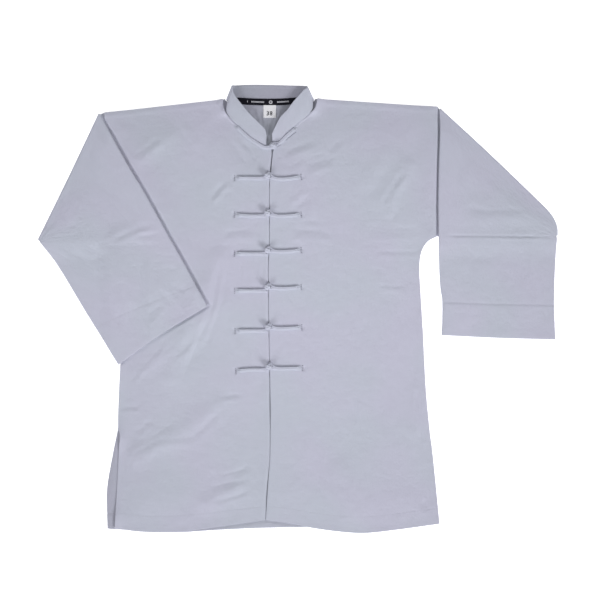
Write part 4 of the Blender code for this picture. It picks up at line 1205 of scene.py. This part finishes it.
def ball_knot(centre, heading):
    """The strand of a button knot, woven round a ball: three turns, four lobes."""
    t = np.linspace(0, 2 * np.pi, 240, endpoint=False)
    radius = BALL_RADIUS + 0.45 * np.sin(8 * t)
    latitude = 1.02 * np.sin(4 * t)
    longitude = 3 * t
    x = radius * np.sin(latitude)
    y = radius * np.cos(latitude) * np.cos(longitude)
    z = radius * np.cos(latitude) * np.sin(longitude)
    cosine, sine = math.cos(heading), math.sin(heading)
    path = np.column_stack([cosine * x - sine * y, sine * x + cosine * y, z]) + centre
    return tube(path, STRAND_RADIUS, closed=True, sides=10)


def build_knot(name, half_route, ball_place, material):
    """The half of a frog that ends in a button knot."""
    bars = bar_route(half_route, KNOT_START)
    bar = laid_cord(route(bars, np.linspace(0, 1, 170)), half_route)
    centre = np.array([ball_place], float)
    ball_centre = three(centre, front_top(centre) + REST_GAP + BALL_LIFT)[0]
    ahead = np.subtract(half_route[1], half_route[0])
    knot = ball_knot(ball_centre, math.atan2(ahead[1], ahead[0]))
    # A small ball fills the knot, as the fabric's own bulk does.
    core_t = np.linspace(-1, 1, 9)[1:-1]
    core_path = ball_centre + np.outer(core_t, (0, 0, CORE_LENGTH))
    rings, cloth, closed = tube(core_path, 1.0, closed=False)
    swell = (CORE_RADIUS * np.sqrt(1 - (core_t * 0.95) ** 2))[:, None, None]
    core = core_path[:, None] + (rings - core_path[:, None]) * swell, cloth, closed
    new_cord(name, [bar, knot, core, bar_filler(half_route, 4.0)], material)


def build_loop(name, half_route, material):
    """The half of a frog that ends in an open loop."""
    bars = bar_route(half_route, LOOP_START)
    ahead = unit(np.subtract(half_route[1], half_route[0]).astype(float))
    angle = np.radians(-40 - np.linspace(0, 280, 25))
    ring = half_route[0] + LOOP_REACH * np.cos(angle)[:, None] * ahead
    ring = ring + LOOP_HALF_WIDTH * np.sin(angle)[:, None] * left_of(ahead)
    rise = LOOP_RISE * (1 - np.cos(angle)) / 2
    shape = np.vstack([bars, ring, bars[:1]])
    lift = np.concatenate([np.zeros(len(bars)), rise, [0.0]])
    path = route(np.column_stack([shape, lift]), np.linspace(0, 1, 241))[:-1]
    loop = laid_cord(path[:, :2], half_route, path[:, 2], closed=True)
    new_cord(name, [loop, bar_filler(half_route, LOOP_REACH)], material)


def frog_route(x, y, side, bar_y, rise):
    """The middle line of one half, from the opening to its outer end."""
    return (
        (x, y),
        (x + side * FROG_HALF_LENGTH * 0.25, bar_y),
        (x + side * FROG_HALF_LENGTH * 0.6, bar_y),
        (x + side * FROG_HALF_LENGTH, bar_y + rise),
    )


def frog_tacks(half_route):
    """Three short close rows of sewing across the outer end of a frog's half, in dark thread as a painted
    shadow there.
    """
    end = np.array(half_route[-1], float)
    along = unit(end - np.array(half_route[-2], float))
    across = np.linspace(-1, 1, 12)[:, None] * (TACK_HALF * left_of(along))
    rows = [end + along * (TACK_PLACE + step) + across for step in TACK_ROWS]
    return [three(row, front_top(row) + TACK_HEIGHT) for row in rows]


def build_frogs(material):
    """All seven frogs. Returns the rows of sewing that hold their ends."""
    build_knot("frog_1_knot", NECK_FROG_LEFT, NECK_FROG_CENTRE, material)
    build_loop("frog_1_loop", NECK_FROG_RIGHT, material)
    tacks = []
    # The arms at the neck show their sewing along the seam and their lower side.
    for start, end in NECK_SHADOW_TACKS:
        for step in NECK_TACK_ROWS:
            line = np.linspace(start, end, 12) + (0.0, step)
            tacks.append(three(line, front_top(line) + NECK_TACK_HEIGHT))
    for row in FROG_TABLE:
        y = (row.knot_y + row.loop_y) / 2 + KNOT_ABOVE
        x = knot_x(y)
        knot_line = frog_route(x, row.knot_y + 2.2, -1, row.knot_y + 0.9, row.knot_rise - 1.2)
        loop_line = frog_route(x, y, 1, row.loop_y, row.loop_rise)
        build_knot(row.name + "_knot", knot_line, (x - 0.4, y), material)
        build_loop(row.name + "_loop", loop_line, material)
        tacks += frog_tacks(knot_line) + frog_tacks(loop_line)
    return tacks


class Wire:
    """An output socket of a tree's nodes, on which sums are written in Python."""

    def __init__(self, tree, socket=None):
        self.tree, self.socket = tree, socket

    def node(self, kind, settings=None, values=None, output=0):
        """Adds a node, sets it, fills its sockets, and wraps one of its outputs."""
        made = self.tree.nodes.new(kind)
        for name, value in (settings or {}).items():
            setattr(made, name, value)
        for key, value in (values or {}).items():
            if isinstance(value, Wire):
                self.tree.links.new(value.socket, made.inputs[key])
            else:
                made.inputs[key].default_value = value
        return Wire(self.tree, made.outputs[output] if made.outputs else None)

    def output(self, name):
        """Another output of the same node."""
        return Wire(self.tree, self.socket.node.outputs[name])

    def maths(self, operation, *values):
        return self.node("ShaderNodeMath", {"operation": operation}, dict(enumerate(values)))

    def __add__(self, other):
        return self.maths("ADD", self, other)

    def __sub__(self, other):
        return self.maths("SUBTRACT", self, other)

    def __rsub__(self, other):
        return self.maths("SUBTRACT", other, self)

    def __mul__(self, other):
        return self.maths("MULTIPLY", self, other)

    __radd__, __rmul__ = __add__, __mul__

    def __abs__(self):
        return self.maths("ABSOLUTE", self)

    def sine(self):
        return self.maths("SINE", self)

    def root(self):
        return self.maths("SQRT", self)

    def most(self, other):
        return self.maths("MAXIMUM", self, other)

    def step(self, low, high):
        """Nought below low and one above high, with a soft change between them."""
        values = {"Value": self, "From Min": low, "From Max": high}
        return self.node("ShaderNodeMapRange", {"interpolation_type": "SMOOTHSTEP"}, values)

    def blend(self, first, second):
        """A colour between two, this value of the way from the first."""
        return self.node("ShaderNodeMix", {"data_type": "RGBA"}, {0: self, 6: first, 7: second}, output=2)

    def times(self, number):
        """A vector or colour multiplied by a number."""
        return self.node("ShaderNodeVectorMath", {"operation": "SCALE"}, {0: self, 3: number})

    def stretched(self, x, y, z):
        """A vector with each of its three numbers multiplied by its own."""
        return self.node("ShaderNodeVectorMath", {"operation": "MULTIPLY"}, {0: self, 1: (x, y, z)})

    def noise(self, scale, detail=2.0, roughness=0.5):
        """Smooth noise about nought to one, at this place."""
        values = {"Vector": self, "Scale": scale, "Detail": detail, "Roughness": roughness}
        return self.node("ShaderNodeTexNoise", None, values)

    def bump(self, distance, normal=None):
        """A normal for this height, which is in shares of the distance in metres."""
        values = {"Height": self, "Distance": distance, "Strength": 1.0}
        if normal:
            values["Normal"] = normal
        return self.node("ShaderNodeBump", None, values)

    def split(self):
        """The three numbers of a vector."""
        x = self.node("ShaderNodeSeparateXYZ", None, {0: self})
        return x, x.output("Y"), x.output("Z")


def new_material(name):
    """An empty material, and the wire that its nodes are added with."""
    material = bpy.data.materials.new(name)
    material.use_nodes = True
    material.node_tree.nodes.clear()
    return material, Wire(material.node_tree)


def finish_surface(wire, colour, roughness, normal=None, sheen=0.0, specular=0.3, glow=0.0):
    """The shader and output of a material. The plain numbers are set on its sockets."""
    values = {
        "Base Color": colour,
        "Roughness": roughness,
        "Metallic": 0.0,
        "Specular IOR Level": specular,
        "Sheen Weight": sheen,
        "Sheen Roughness": 0.5,
        "Emission Strength": glow,
        "Emission Color": WHITE,
    }
    if normal:
        values["Normal"] = normal
    shader = wire.node("ShaderNodeBsdfPrincipled", None, values)
    wire.node("ShaderNodeOutputMaterial", None, {"Surface": shader})


def shade(colour, share=1.0):
    """A colour for a socket, with its channels multiplied by a share, or by one each."""
    return [*np.multiply(tuple(colour), share).tolist(), 1.0]


def fibres(wire, scale, detail=2.0):
    """Fine lint in the thread or surface itself, from nought to one."""
    return wire.node("ShaderNodeTexCoord", output="Object").noise(scale, detail)


def cloth_place(wire):
    """The place on the cloth, and its three numbers: across, along, and edge closeness."""
    place = wire.node("ShaderNodeAttribute", {"attribute_name": "cloth"}, output="Vector")
    return place, *place.split()


def plain_weave(across, along, pitch):
    """Height of yarns that pass over and under each other, from nought to one."""
    turn = math.pi / pitch
    warp, weft = (across * turn).sine(), (along * turn).sine()
    over = (warp * weft).step(-0.3, 0.3)
    return over * abs(warp) + (1.0 - over) * abs(weft)


def cotton_material():
    """Grey cotton: plain weave, uneven yarn, faint warmer and cooler patches, worn edges, painted shade in
    the weave's low places, and painted shade from the wrong-side mark.
    """
    settings = cloth_settings()
    material, wire = new_material("grey_cotton_weave")
    place, across, along, edge = cloth_place(wire)
    flat = place.stretched(1.0, 1.0, 0.0)
    weave = plain_weave(across, along, settings.weave_pitch)
    slubs = place.stretched(1400.0, 45.0, 0.0).noise(1.0) + place.stretched(45.0, 1400.0, 0.0).noise(1.0)
    patches = flat.noise(7.0, 1.0).step(0.3, 0.7)
    mottle = flat.noise(85.0, 4.0, 0.6)
    cool = shade(settings.colour, (0.985, 1.012, 0.985))
    warm = shade(settings.colour, (1.018, 0.992, 1.01))
    wrong_side = wire.node("ShaderNodeAttribute", {"attribute_name": "wrong_side"}, output="Fac")
    # The weave's low places are painted a little darker, a painted shade between the yarns.
    tone = (0.955 + 0.05 * mottle + 0.022 * slubs) * (0.985 + 0.02 * weave)
    # Painted shade: the wrong-side mark darkens the wrong side and paints shade inside the neck, under the
    # collar's fold, on the collar's inside and on the sleeves' rounded edges.
    tone = tone * (1.0 + 0.035 * edge * edge) * (1.0 - settings.inside_and_shade_depth * wrong_side)
    base = patches.blend(cool, warm).times(tone)
    normal = flat.noise(48.0).bump(0.0011)
    normal = flat.noise(160.0, 3.0, 0.55).bump(0.00035, normal)
    normal = weave.bump(0.00008, slubs.bump(0.00012, normal))
    finish_surface(wire, base, 0.8 + 0.1 * mottle - 0.04 * edge, normal, sheen=settings.sheen)
    return material


def thread_material():
    """Spun thread: a twist along each stitch, and a little unevenness."""
    material, wire = new_material("grey_thread")
    x, y, _ = wire.node("ShaderNodeTexCoord", output="Object").split()
    twist = ((x + y) * 9000.0).sine()
    lint = fibres(wire, 900.0)
    colour = bpy.context.scene.jacket_thread.colour
    base = lint.blend(shade(colour, 0.9), shade(colour))
    finish_surface(wire, base, 0.62 + 0.15 * lint, (0.5 + 0.5 * twist).bump(0.00005), sheen=0.2)
    return material


def shadow_tack_material():
    """Dark thread for the frogs' bar tacks and the neck frog's sewing, painted dark as the shadow beside the
    frogs' ends and along the neck seam.
    """
    material, wire = new_material("tack_thread")
    lint = fibres(wire, 900.0)
    colour = bpy.context.scene.jacket_thread.tack_shadow_colour
    base = lint.blend(shade(colour, 0.8), shade(colour))
    finish_surface(wire, base, 0.7 + 0.1 * lint, lint.bump(0.00005))
    return material


def tape_material():
    """Black woven tape with a rib along it, and a row of pale woven dashes and a ring."""
    trim = bpy.context.scene.jacket_trim
    material, wire = new_material("black_woven_tape")
    place, across, along, _ = cloth_place(wire)
    rib = abs((across * (math.pi / 0.0009)).sine())
    weft = abs((along * (math.pi / 0.0006)).sine())
    lint = place.noise(700.0, 3.0)
    # Short runs of dashes with a plain ring between them, in the middle of the tape.
    middle = abs(along - TAPE_MARK_ROW * MM)
    marks = None
    for start, dash, count in TAPE_DASHES:
        for index in range(count):
            centre = (start + index * 1.3 * dash) * MM
            bar = 1.0 - abs(across - centre).step(dash * 0.38 * MM, dash * 0.52 * MM)
            marks = bar if marks is None else marks.most(bar)
    marks = marks * (1.0 - middle.step(1.1 * MM, 1.6 * MM))
    from_ring = across - TAPE_RING * MM
    ring = abs((from_ring * from_ring + middle * middle).root() - 2.4 * MM)
    marks = marks.most(1.0 - ring.step(0.7 * MM, 1.2 * MM))
    # The rib's low places are painted darker, a painted shade between the ribs.
    black = (0.35 + 0.65 * lint * rib).blend(shade(trim.tape_colour, 0.6), shade(trim.tape_colour))
    base = (marks * (0.75 + 0.25 * weft)).blend(black, shade(trim.mark_colour))
    normal = (0.6 * rib + 0.4 * weft + 0.6 * marks).bump(0.00012)
    finish_surface(wire, base, 0.6 + 0.15 * lint, normal, sheen=0.02, specular=0.1)
    return material


def label_material():
    """White woven label: fine satin lines, a closer weave at its cut edges."""
    white = bpy.context.scene.jacket_trim.label_colour
    material, wire = new_material("white_woven_label")
    place, across, along, edge = cloth_place(wire)
    weave = plain_weave(across, along, 0.00035)
    lint = place.noise(420.0, 3.0)
    # The weave's low places are painted darker, a painted shade between the yarns.
    base = (0.6 * lint + 0.4 * weave).blend(shade(white, 0.9), shade(white))
    base = (0.5 * edge).blend(base, shade(white, 0.8))
    finish_surface(wire, base, 0.6 + 0.1 * lint, weave.bump(0.00006), sheen=0.1, specular=0.4)
    return material


def figure_material():
    """The black yarn of the label's figures."""
    material, wire = new_material("black_figures")
    lint = fibres(wire, 900.0, 3.0)
    base = lint.blend(shade((0.012, 0.012, 0.016)), shade((0.05, 0.05, 0.06)))
    finish_surface(wire, base, 0.6 + 0.2 * lint, lint.bump(0.00005))
    return material


def floor_material():
    """A plain white studio surface."""
    material, wire = new_material("studio_floor")
    base = fibres(wire, 40.0).blend(shade(WHITE[:3], 0.90), shade(WHITE[:3], 0.92))
    finish_surface(wire, base, 0.8, glow=bpy.context.scene.jacket_stage.floor_glow, specular=0.1)
    return material


def stitch_tree():
    """Geometry nodes that lay a row of stitches along lines."""
    thread = bpy.context.scene.jacket_thread
    tree = bpy.data.node_groups.new("lay_stitches", "GeometryNodeTree")
    for name, kind, default in (
        ("Geometry", "Geometry", None),
        ("Pitch", "Float", thread.pitch),
        ("Length", "Float", thread.length),
        ("Thickness", "Float", thread.thickness),
        ("Seed", "Int", 11),
        ("Thread", "Material", None),
    ):
        socket = tree.interface.new_socket(name, in_out="INPUT", socket_type="NodeSocket" + kind)
        if default is not None:
            socket.default_value = default
    tree.interface.new_socket("Geometry", in_out="OUTPUT", socket_type="NodeSocketGeometry")
    wire = Wire(tree)
    given = wire.node("NodeGroupInput")
    lines = wire.node("GeometryNodeMeshToCurve", None, {"Mesh": given})
    places = wire.node(
        "GeometryNodeCurveToPoints", {"mode": "LENGTH"}, {"Curve": lines, "Length": given.output("Pitch")},
    )
    ball = wire.node("GeometryNodeMeshUVSphere", None, {"Segments": 6, "Rings": 4, "Radius": 0.5})
    thickness, length = given.output("Thickness"), given.output("Length")
    size = wire.node("ShaderNodeCombineXYZ", None, {"X": thickness, "Y": thickness, "Z": length})
    stitch = wire.node("GeometryNodeTransform", None, {"Geometry": ball, "Scale": size})
    # Inputs 2 and 3 and output 1 are the node's plain numbers.
    span = {2: 0.88, 3: 1.1, "Seed": given.output("Seed")}
    spread = wire.node("FunctionNodeRandomValue", {"data_type": "FLOAT"}, span, output=1)
    lay = wire.node("GeometryNodeInstanceOnPoints", None, {
        "Points": places, "Instance": stitch, "Rotation": places.output("Rotation"), "Scale": spread,
    })
    real = wire.node("GeometryNodeRealizeInstances", None, {"Geometry": lay})
    soft = wire.node("GeometryNodeSetShadeSmooth", None, {"Geometry": real})
    coloured = wire.node(
        "GeometryNodeSetMaterial", None, {"Geometry": soft, "Material": given.output("Thread")},
    )
    wire.node("NodeGroupOutput", None, {"Geometry": coloured})
    return tree


def sew(name, lines, material=None):
    """A row of stitches along each line of places, as one plain mesh."""
    vertices, edges = [], []
    for line in lines:
        start = len(vertices)
        vertices += (np.asarray(line) * MM).tolist()
        edges += [(start + i, start + i + 1) for i in range(len(line) - 1)]
    mesh = bpy.data.meshes.new(name + "_line")
    mesh.from_pydata(vertices, edges, [])
    guide = new_object(name + "_line", mesh)
    tree = bpy.data.node_groups.get("lay_stitches") or stitch_tree()
    modifier = guide.modifiers.new("Stitches", "NODES")
    modifier.node_group = tree
    for item in tree.interface.items_tree:
        if item.in_out == "INPUT" and item.name == "Thread":
            modifier[item.identifier] = material or bpy.data.materials.get("grey_thread") or thread_material()
    return plain_copy(guide, name)


def cotton():
    """The cotton of the body, sleeves and cords, made once."""
    return bpy.data.materials.get("grey_cotton_weave") or cotton_material()


def colour_setting(name, description, default):
    """A colour that a user can change."""
    return bpy.props.FloatVectorProperty(
        name=name, description=description, default=default, min=0, max=1, subtype="COLOR",
    )


def length_setting(name, description, default):
    """A length in metres that a user can change."""
    return bpy.props.FloatProperty(
        name=name, description=description, default=default, precision=5, subtype="DISTANCE", unit="LENGTH",
    )


def share_setting(name, description, default, most=1):
    """A share that a user can change, from nought to its most."""
    return bpy.props.FloatProperty(
        name=name, description=description, default=default, min=0, max=most, subtype="FACTOR",
    )


def power_setting(name, description, default):
    """A lamp's power that a user can change."""
    return bpy.props.FloatProperty(
        name=name, description=description, default=default, min=0, subtype="POWER", unit="POWER",
    )


class JacketCloth(bpy.types.PropertyGroup):
    """The cotton and how it lies."""

    colour: colour_setting("Cotton colour", "Colour of the cotton", (0.507, 0.519, 0.624))
    weave_pitch: length_setting("Yarn spacing", "Distance from yarn to yarn", 0.00055)
    sheen: share_setting("Sheen", "Soft glow of the cotton's nap", 0.25)
    # This share also sets the painted shade that the wrong-side mark carries inside the neck, under the
    # collar's fold and on the sleeves' rounded edges.
    inside_and_shade_depth: share_setting("Inside", "How much darker the wrong side of the cotton is", 0.3)
    crease_strength: share_setting("Creases", "Height of the creases against their own sizes", 1.0, 2)
    unevenness: length_setting("Unevenness", "Height of the cloth's soft waves", 0.0008)


class JacketThread(bpy.types.PropertyGroup):
    """The sewing."""

    colour: colour_setting("Thread colour", "Colour of the sewing thread", (0.52, 0.53, 0.62))
    # The tack colour is dark, a painted shadow at the frogs' ends and along the neck seam.
    tack_shadow_colour: colour_setting("Tack colour", "Colour of the frogs' tacks", (0.2, 0.205, 0.26))
    pitch: length_setting("Stitch spacing", "Distance from stitch to stitch", 0.0028)
    length: length_setting("Stitch length", "Length of the thread that shows in one stitch", 0.0022)
    thickness: length_setting("Thread thickness", "Thickness of the thread", 0.00045)


class JacketTrim(bpy.types.PropertyGroup):
    """The neck tape and the size label."""

    tape_colour: colour_setting("Tape colour", "Colour of the neck tape", (0.007, 0.007, 0.013))
    mark_colour: colour_setting("Mark colour", "Colour of the dashes on the tape", (0.55, 0.55, 0.6))
    label_colour: colour_setting("Label colour", "Colour of the size label", (0.82, 0.82, 0.86))
    size_text: bpy.props.StringProperty(
        name="Size", description="The figures on the size label", default="38",
    )


class JacketStage(bpy.types.PropertyGroup):
    """The surface, the lights and the camera."""

    floor_glow: share_setting("Floor light", "How far the white surface is lit by itself", 0.7, 2)
    key_power: power_setting("Main light", "Power of the large light at the lower right", 840.0)
    side_power: power_setting("Side light", "Power of the large light at the lower left", 575.0)
    top_power: power_setting("Overhead light", "Power of the lights above the jacket", 128.0)
    sky: share_setting("Room light", "Light from all round", 0.25, 2)
    camera_height: length_setting("Camera height", "Height of the camera above the surface", 2.62)


class JACKET_OT_back(bpy.types.Operator):
    """Make the back panel"""

    bl_idname = "jacket.back"
    bl_label = "Back"

    def execute(self, context):
        piece, seams = build_back(cotton())
        stitches = sew("back_stitches", seams)
        return {"FINISHED"}


class JACKET_OT_fronts(bpy.types.Operator):
    """Make both fronts"""

    bl_idname = "jacket.fronts"
    bl_label = "Fronts"

    def execute(self, context):
        fronts = (
            ("right", -1, (FRONT_LEFT, LEFT_HEM, LEFT_NECK, ARMPIT_LEFT, TIP_LEFT), (0.31, 0.79), 0.218),
            ("left", 1, (RIGHT_SIDE, RIGHT_HEM, RIGHT_NECK, ARMPIT_RIGHT, TIP_RIGHT), (0.32, 0.79), 0.231),
        )
        made = [
            build_front("front_%s_cloth" % name, "front_panel_" + name, edges, side, cotton())
            for name, side, edges, _, _ in fronts
        ]
        for (piece, seams), (name, _, _, flat_size, area) in zip(made, fronts):
            stitches = sew("front_%s_stitches" % name, seams)
        return {"FINISHED"}


class JACKET_OT_sleeves(bpy.types.Operator):
    """Make both sleeves"""

    bl_idname = "jacket.sleeves"
    bl_label = "Sleeves"

    def execute(self, context):
        wearers_right, wearers_left = SLEEVE_PLANS
        for plan, rows, seed, cuff_relief, front, flat_size, area in (
            (wearers_right, RIGHT_SLEEVE_CREASES, 31.0, 0.5, "front_right_cloth", (0.47, 0.48), 0.172),
            (wearers_left, LEFT_SLEEVE_CREASES, 47.0, 1.0, "front_left_cloth", (0.47, 0.52), 0.198),
        ):
            piece, line = build_sleeve(plan, rows, seed, cuff_relief, cotton())
            stitches = sew(plan.name + "_stitches", [line])
        return {"FINISHED"}


class JACKET_OT_collar(bpy.types.Operator):
    """Make the stand-up collar band"""

    bl_idname = "jacket.collar"
    bl_label = "Collar"

    def execute(self, context):
        piece, lines = build_collar(cotton())
        stitches = sew("collar_stitches", lines)
        return {"FINISHED"}


class JACKET_OT_tape(bpy.types.Operator):
    """Make the tape over the back neck seam"""

    bl_idname = "jacket.tape"
    bl_label = "Neck tape"

    def execute(self, context):
        piece, lines = build_tape(tape_material())
        stitches = sew("neck_tape_stitches", lines, material=piece.data.materials[0])
        return {"FINISHED"}


class JACKET_OT_label(bpy.types.Operator):
    """Make the size label with its figures"""

    bl_idname = "jacket.label"
    bl_label = "Size label"

    def execute(self, context):
        piece, top = build_label(label_material())
        middle = top[len(top) // 2, top.shape[1] // 2]
        figures = numerals(context.scene.jacket_trim.size_text, middle + FIGURE_OFFSET, figure_material())
        return {"FINISHED"}


class JACKET_OT_frogs(bpy.types.Operator):
    """Make the seven pairs of frog fastenings"""

    bl_idname = "jacket.frogs"
    bl_label = "Frogs"

    def execute(self, context):
        # The tacks' dark thread is a painted shadow at the frogs' ends and along the neck seam.
        sew("frog_tack_stitches", build_frogs(cotton()), material=shadow_tack_material())
        return {"FINISHED"}


class JACKET_OT_stage(bpy.types.Operator):
    """Make the surface, the lights and the camera"""

    bl_idname = "jacket.stage"
    bl_label = "Stage"

    def execute(self, context):
        stage, scene = context.scene.jacket_stage, context.scene
        mesh = bpy.data.meshes.new("studio_floor")
        corners = [(x * FLOOR_REACH, y * FLOOR_REACH, -FLOOR_DROP) for x, y in FLOOR_CORNERS]
        mesh.from_pydata(corners, [], [(0, 1, 2, 3)])
        mesh.materials.append(floor_material())
        new_object("studio_floor", mesh)
        large = {"shape": "DISK", "size": 5.0}
        overhead = {"spot_size": math.radians(28.0), "spot_blend": 1.0, "shadow_soft_size": 0.4}
        for name, kind, place, shape, power in (
            ("main_light", "AREA", (7.55, -6.64, 6.54), large, stage.key_power),
            ("side_light", "AREA", (-6.64, -7.55, 6.54), large, stage.side_power),
            ("overhead_light_left", "SPOT", (-0.25, 0.02, 3.2), overhead, 0.49 * stage.top_power),
            ("overhead_light_right", "SPOT", (0.23, 0.0, 3.2), overhead, 0.51 * stage.top_power),
        ):
            lamp = bpy.data.lights.new(name, kind)
            for setting, value in shape.items():
                setattr(lamp, setting, value)
            lamp.energy = power
            light = new_object(name, lamp)
            light.location = place
            # The large lights face the middle of the jacket, and the spots face straight down.
            aim = Vector((place[0], place[1], 0.0)) * (kind == "SPOT") - Vector(place)
            light.rotation_euler = aim.to_track_quat("-Z", "Y").to_euler()
            light.visible_camera = False
        world = bpy.data.worlds.new("room")
        world.use_nodes = True
        background = world.node_tree.nodes["Background"]
        background.inputs["Color"].default_value = WHITE
        background.inputs["Strength"].default_value = stage.sky
        scene.world = world
        scene.view_settings.view_transform = "Standard"
        lens = bpy.data.cameras.new("camera")
        lens.lens, lens.sensor_width, lens.clip_end = LENS, SENSOR_WIDTH, FARTHEST
        scene.camera = new_object("camera", lens)
        scene.camera.location = (*CAMERA_PLACE, stage.camera_height)
        return {"FINISHED"}


class JACKET_PT_panel(bpy.types.Panel):
    """Sizes, colours and makers of the jacket"""

    bl_idname = "JACKET_PT_panel"
    bl_label = "Kung fu jacket"
    bl_space_type = "VIEW_3D"
    bl_region_type = "UI"
    bl_category = "Jacket"

    def draw(self, context):
        for group in GROUPS:
            settings = getattr(context.scene, group)
            for name in settings.bl_rna.properties.keys():
                if name not in ("rna_type", "name"):
                    self.layout.prop(settings, name)
        for operator in OPERATORS:
            self.layout.operator(operator.bl_idname)


GROUPS = {
    "jacket_cloth": JacketCloth,
    "jacket_thread": JacketThread,
    "jacket_trim": JacketTrim,
    "jacket_stage": JacketStage,
}
OPERATORS = (
    JACKET_OT_back,
    JACKET_OT_fronts,
    JACKET_OT_sleeves,
    JACKET_OT_collar,
    JACKET_OT_tape,
    JACKET_OT_label,
    JACKET_OT_frogs,
    JACKET_OT_stage,
)


def register():
    """Adds the settings, the operators and the panel."""
    for entry in (*GROUPS.values(), *OPERATORS, JACKET_PT_panel):
        bpy.utils.register_class(entry)
    for name, group in GROUPS.items():
        setattr(bpy.types.Scene, name, bpy.props.PointerProperty(type=group))


def unregister():
    """Takes them away again."""
    for name in GROUPS:
        delattr(bpy.types.Scene, name)
    for entry in (JACKET_PT_panel, *OPERATORS[::-1], *list(GROUPS.values())[::-1]):
        bpy.utils.unregister_class(entry)


def main():
    """Makes every piece and the stage."""
    register()
    for operator in OPERATORS:
        group, name = operator.bl_idname.split(".")
        getattr(getattr(bpy.ops, group), name)()


if __name__ == "__main__":
    main()
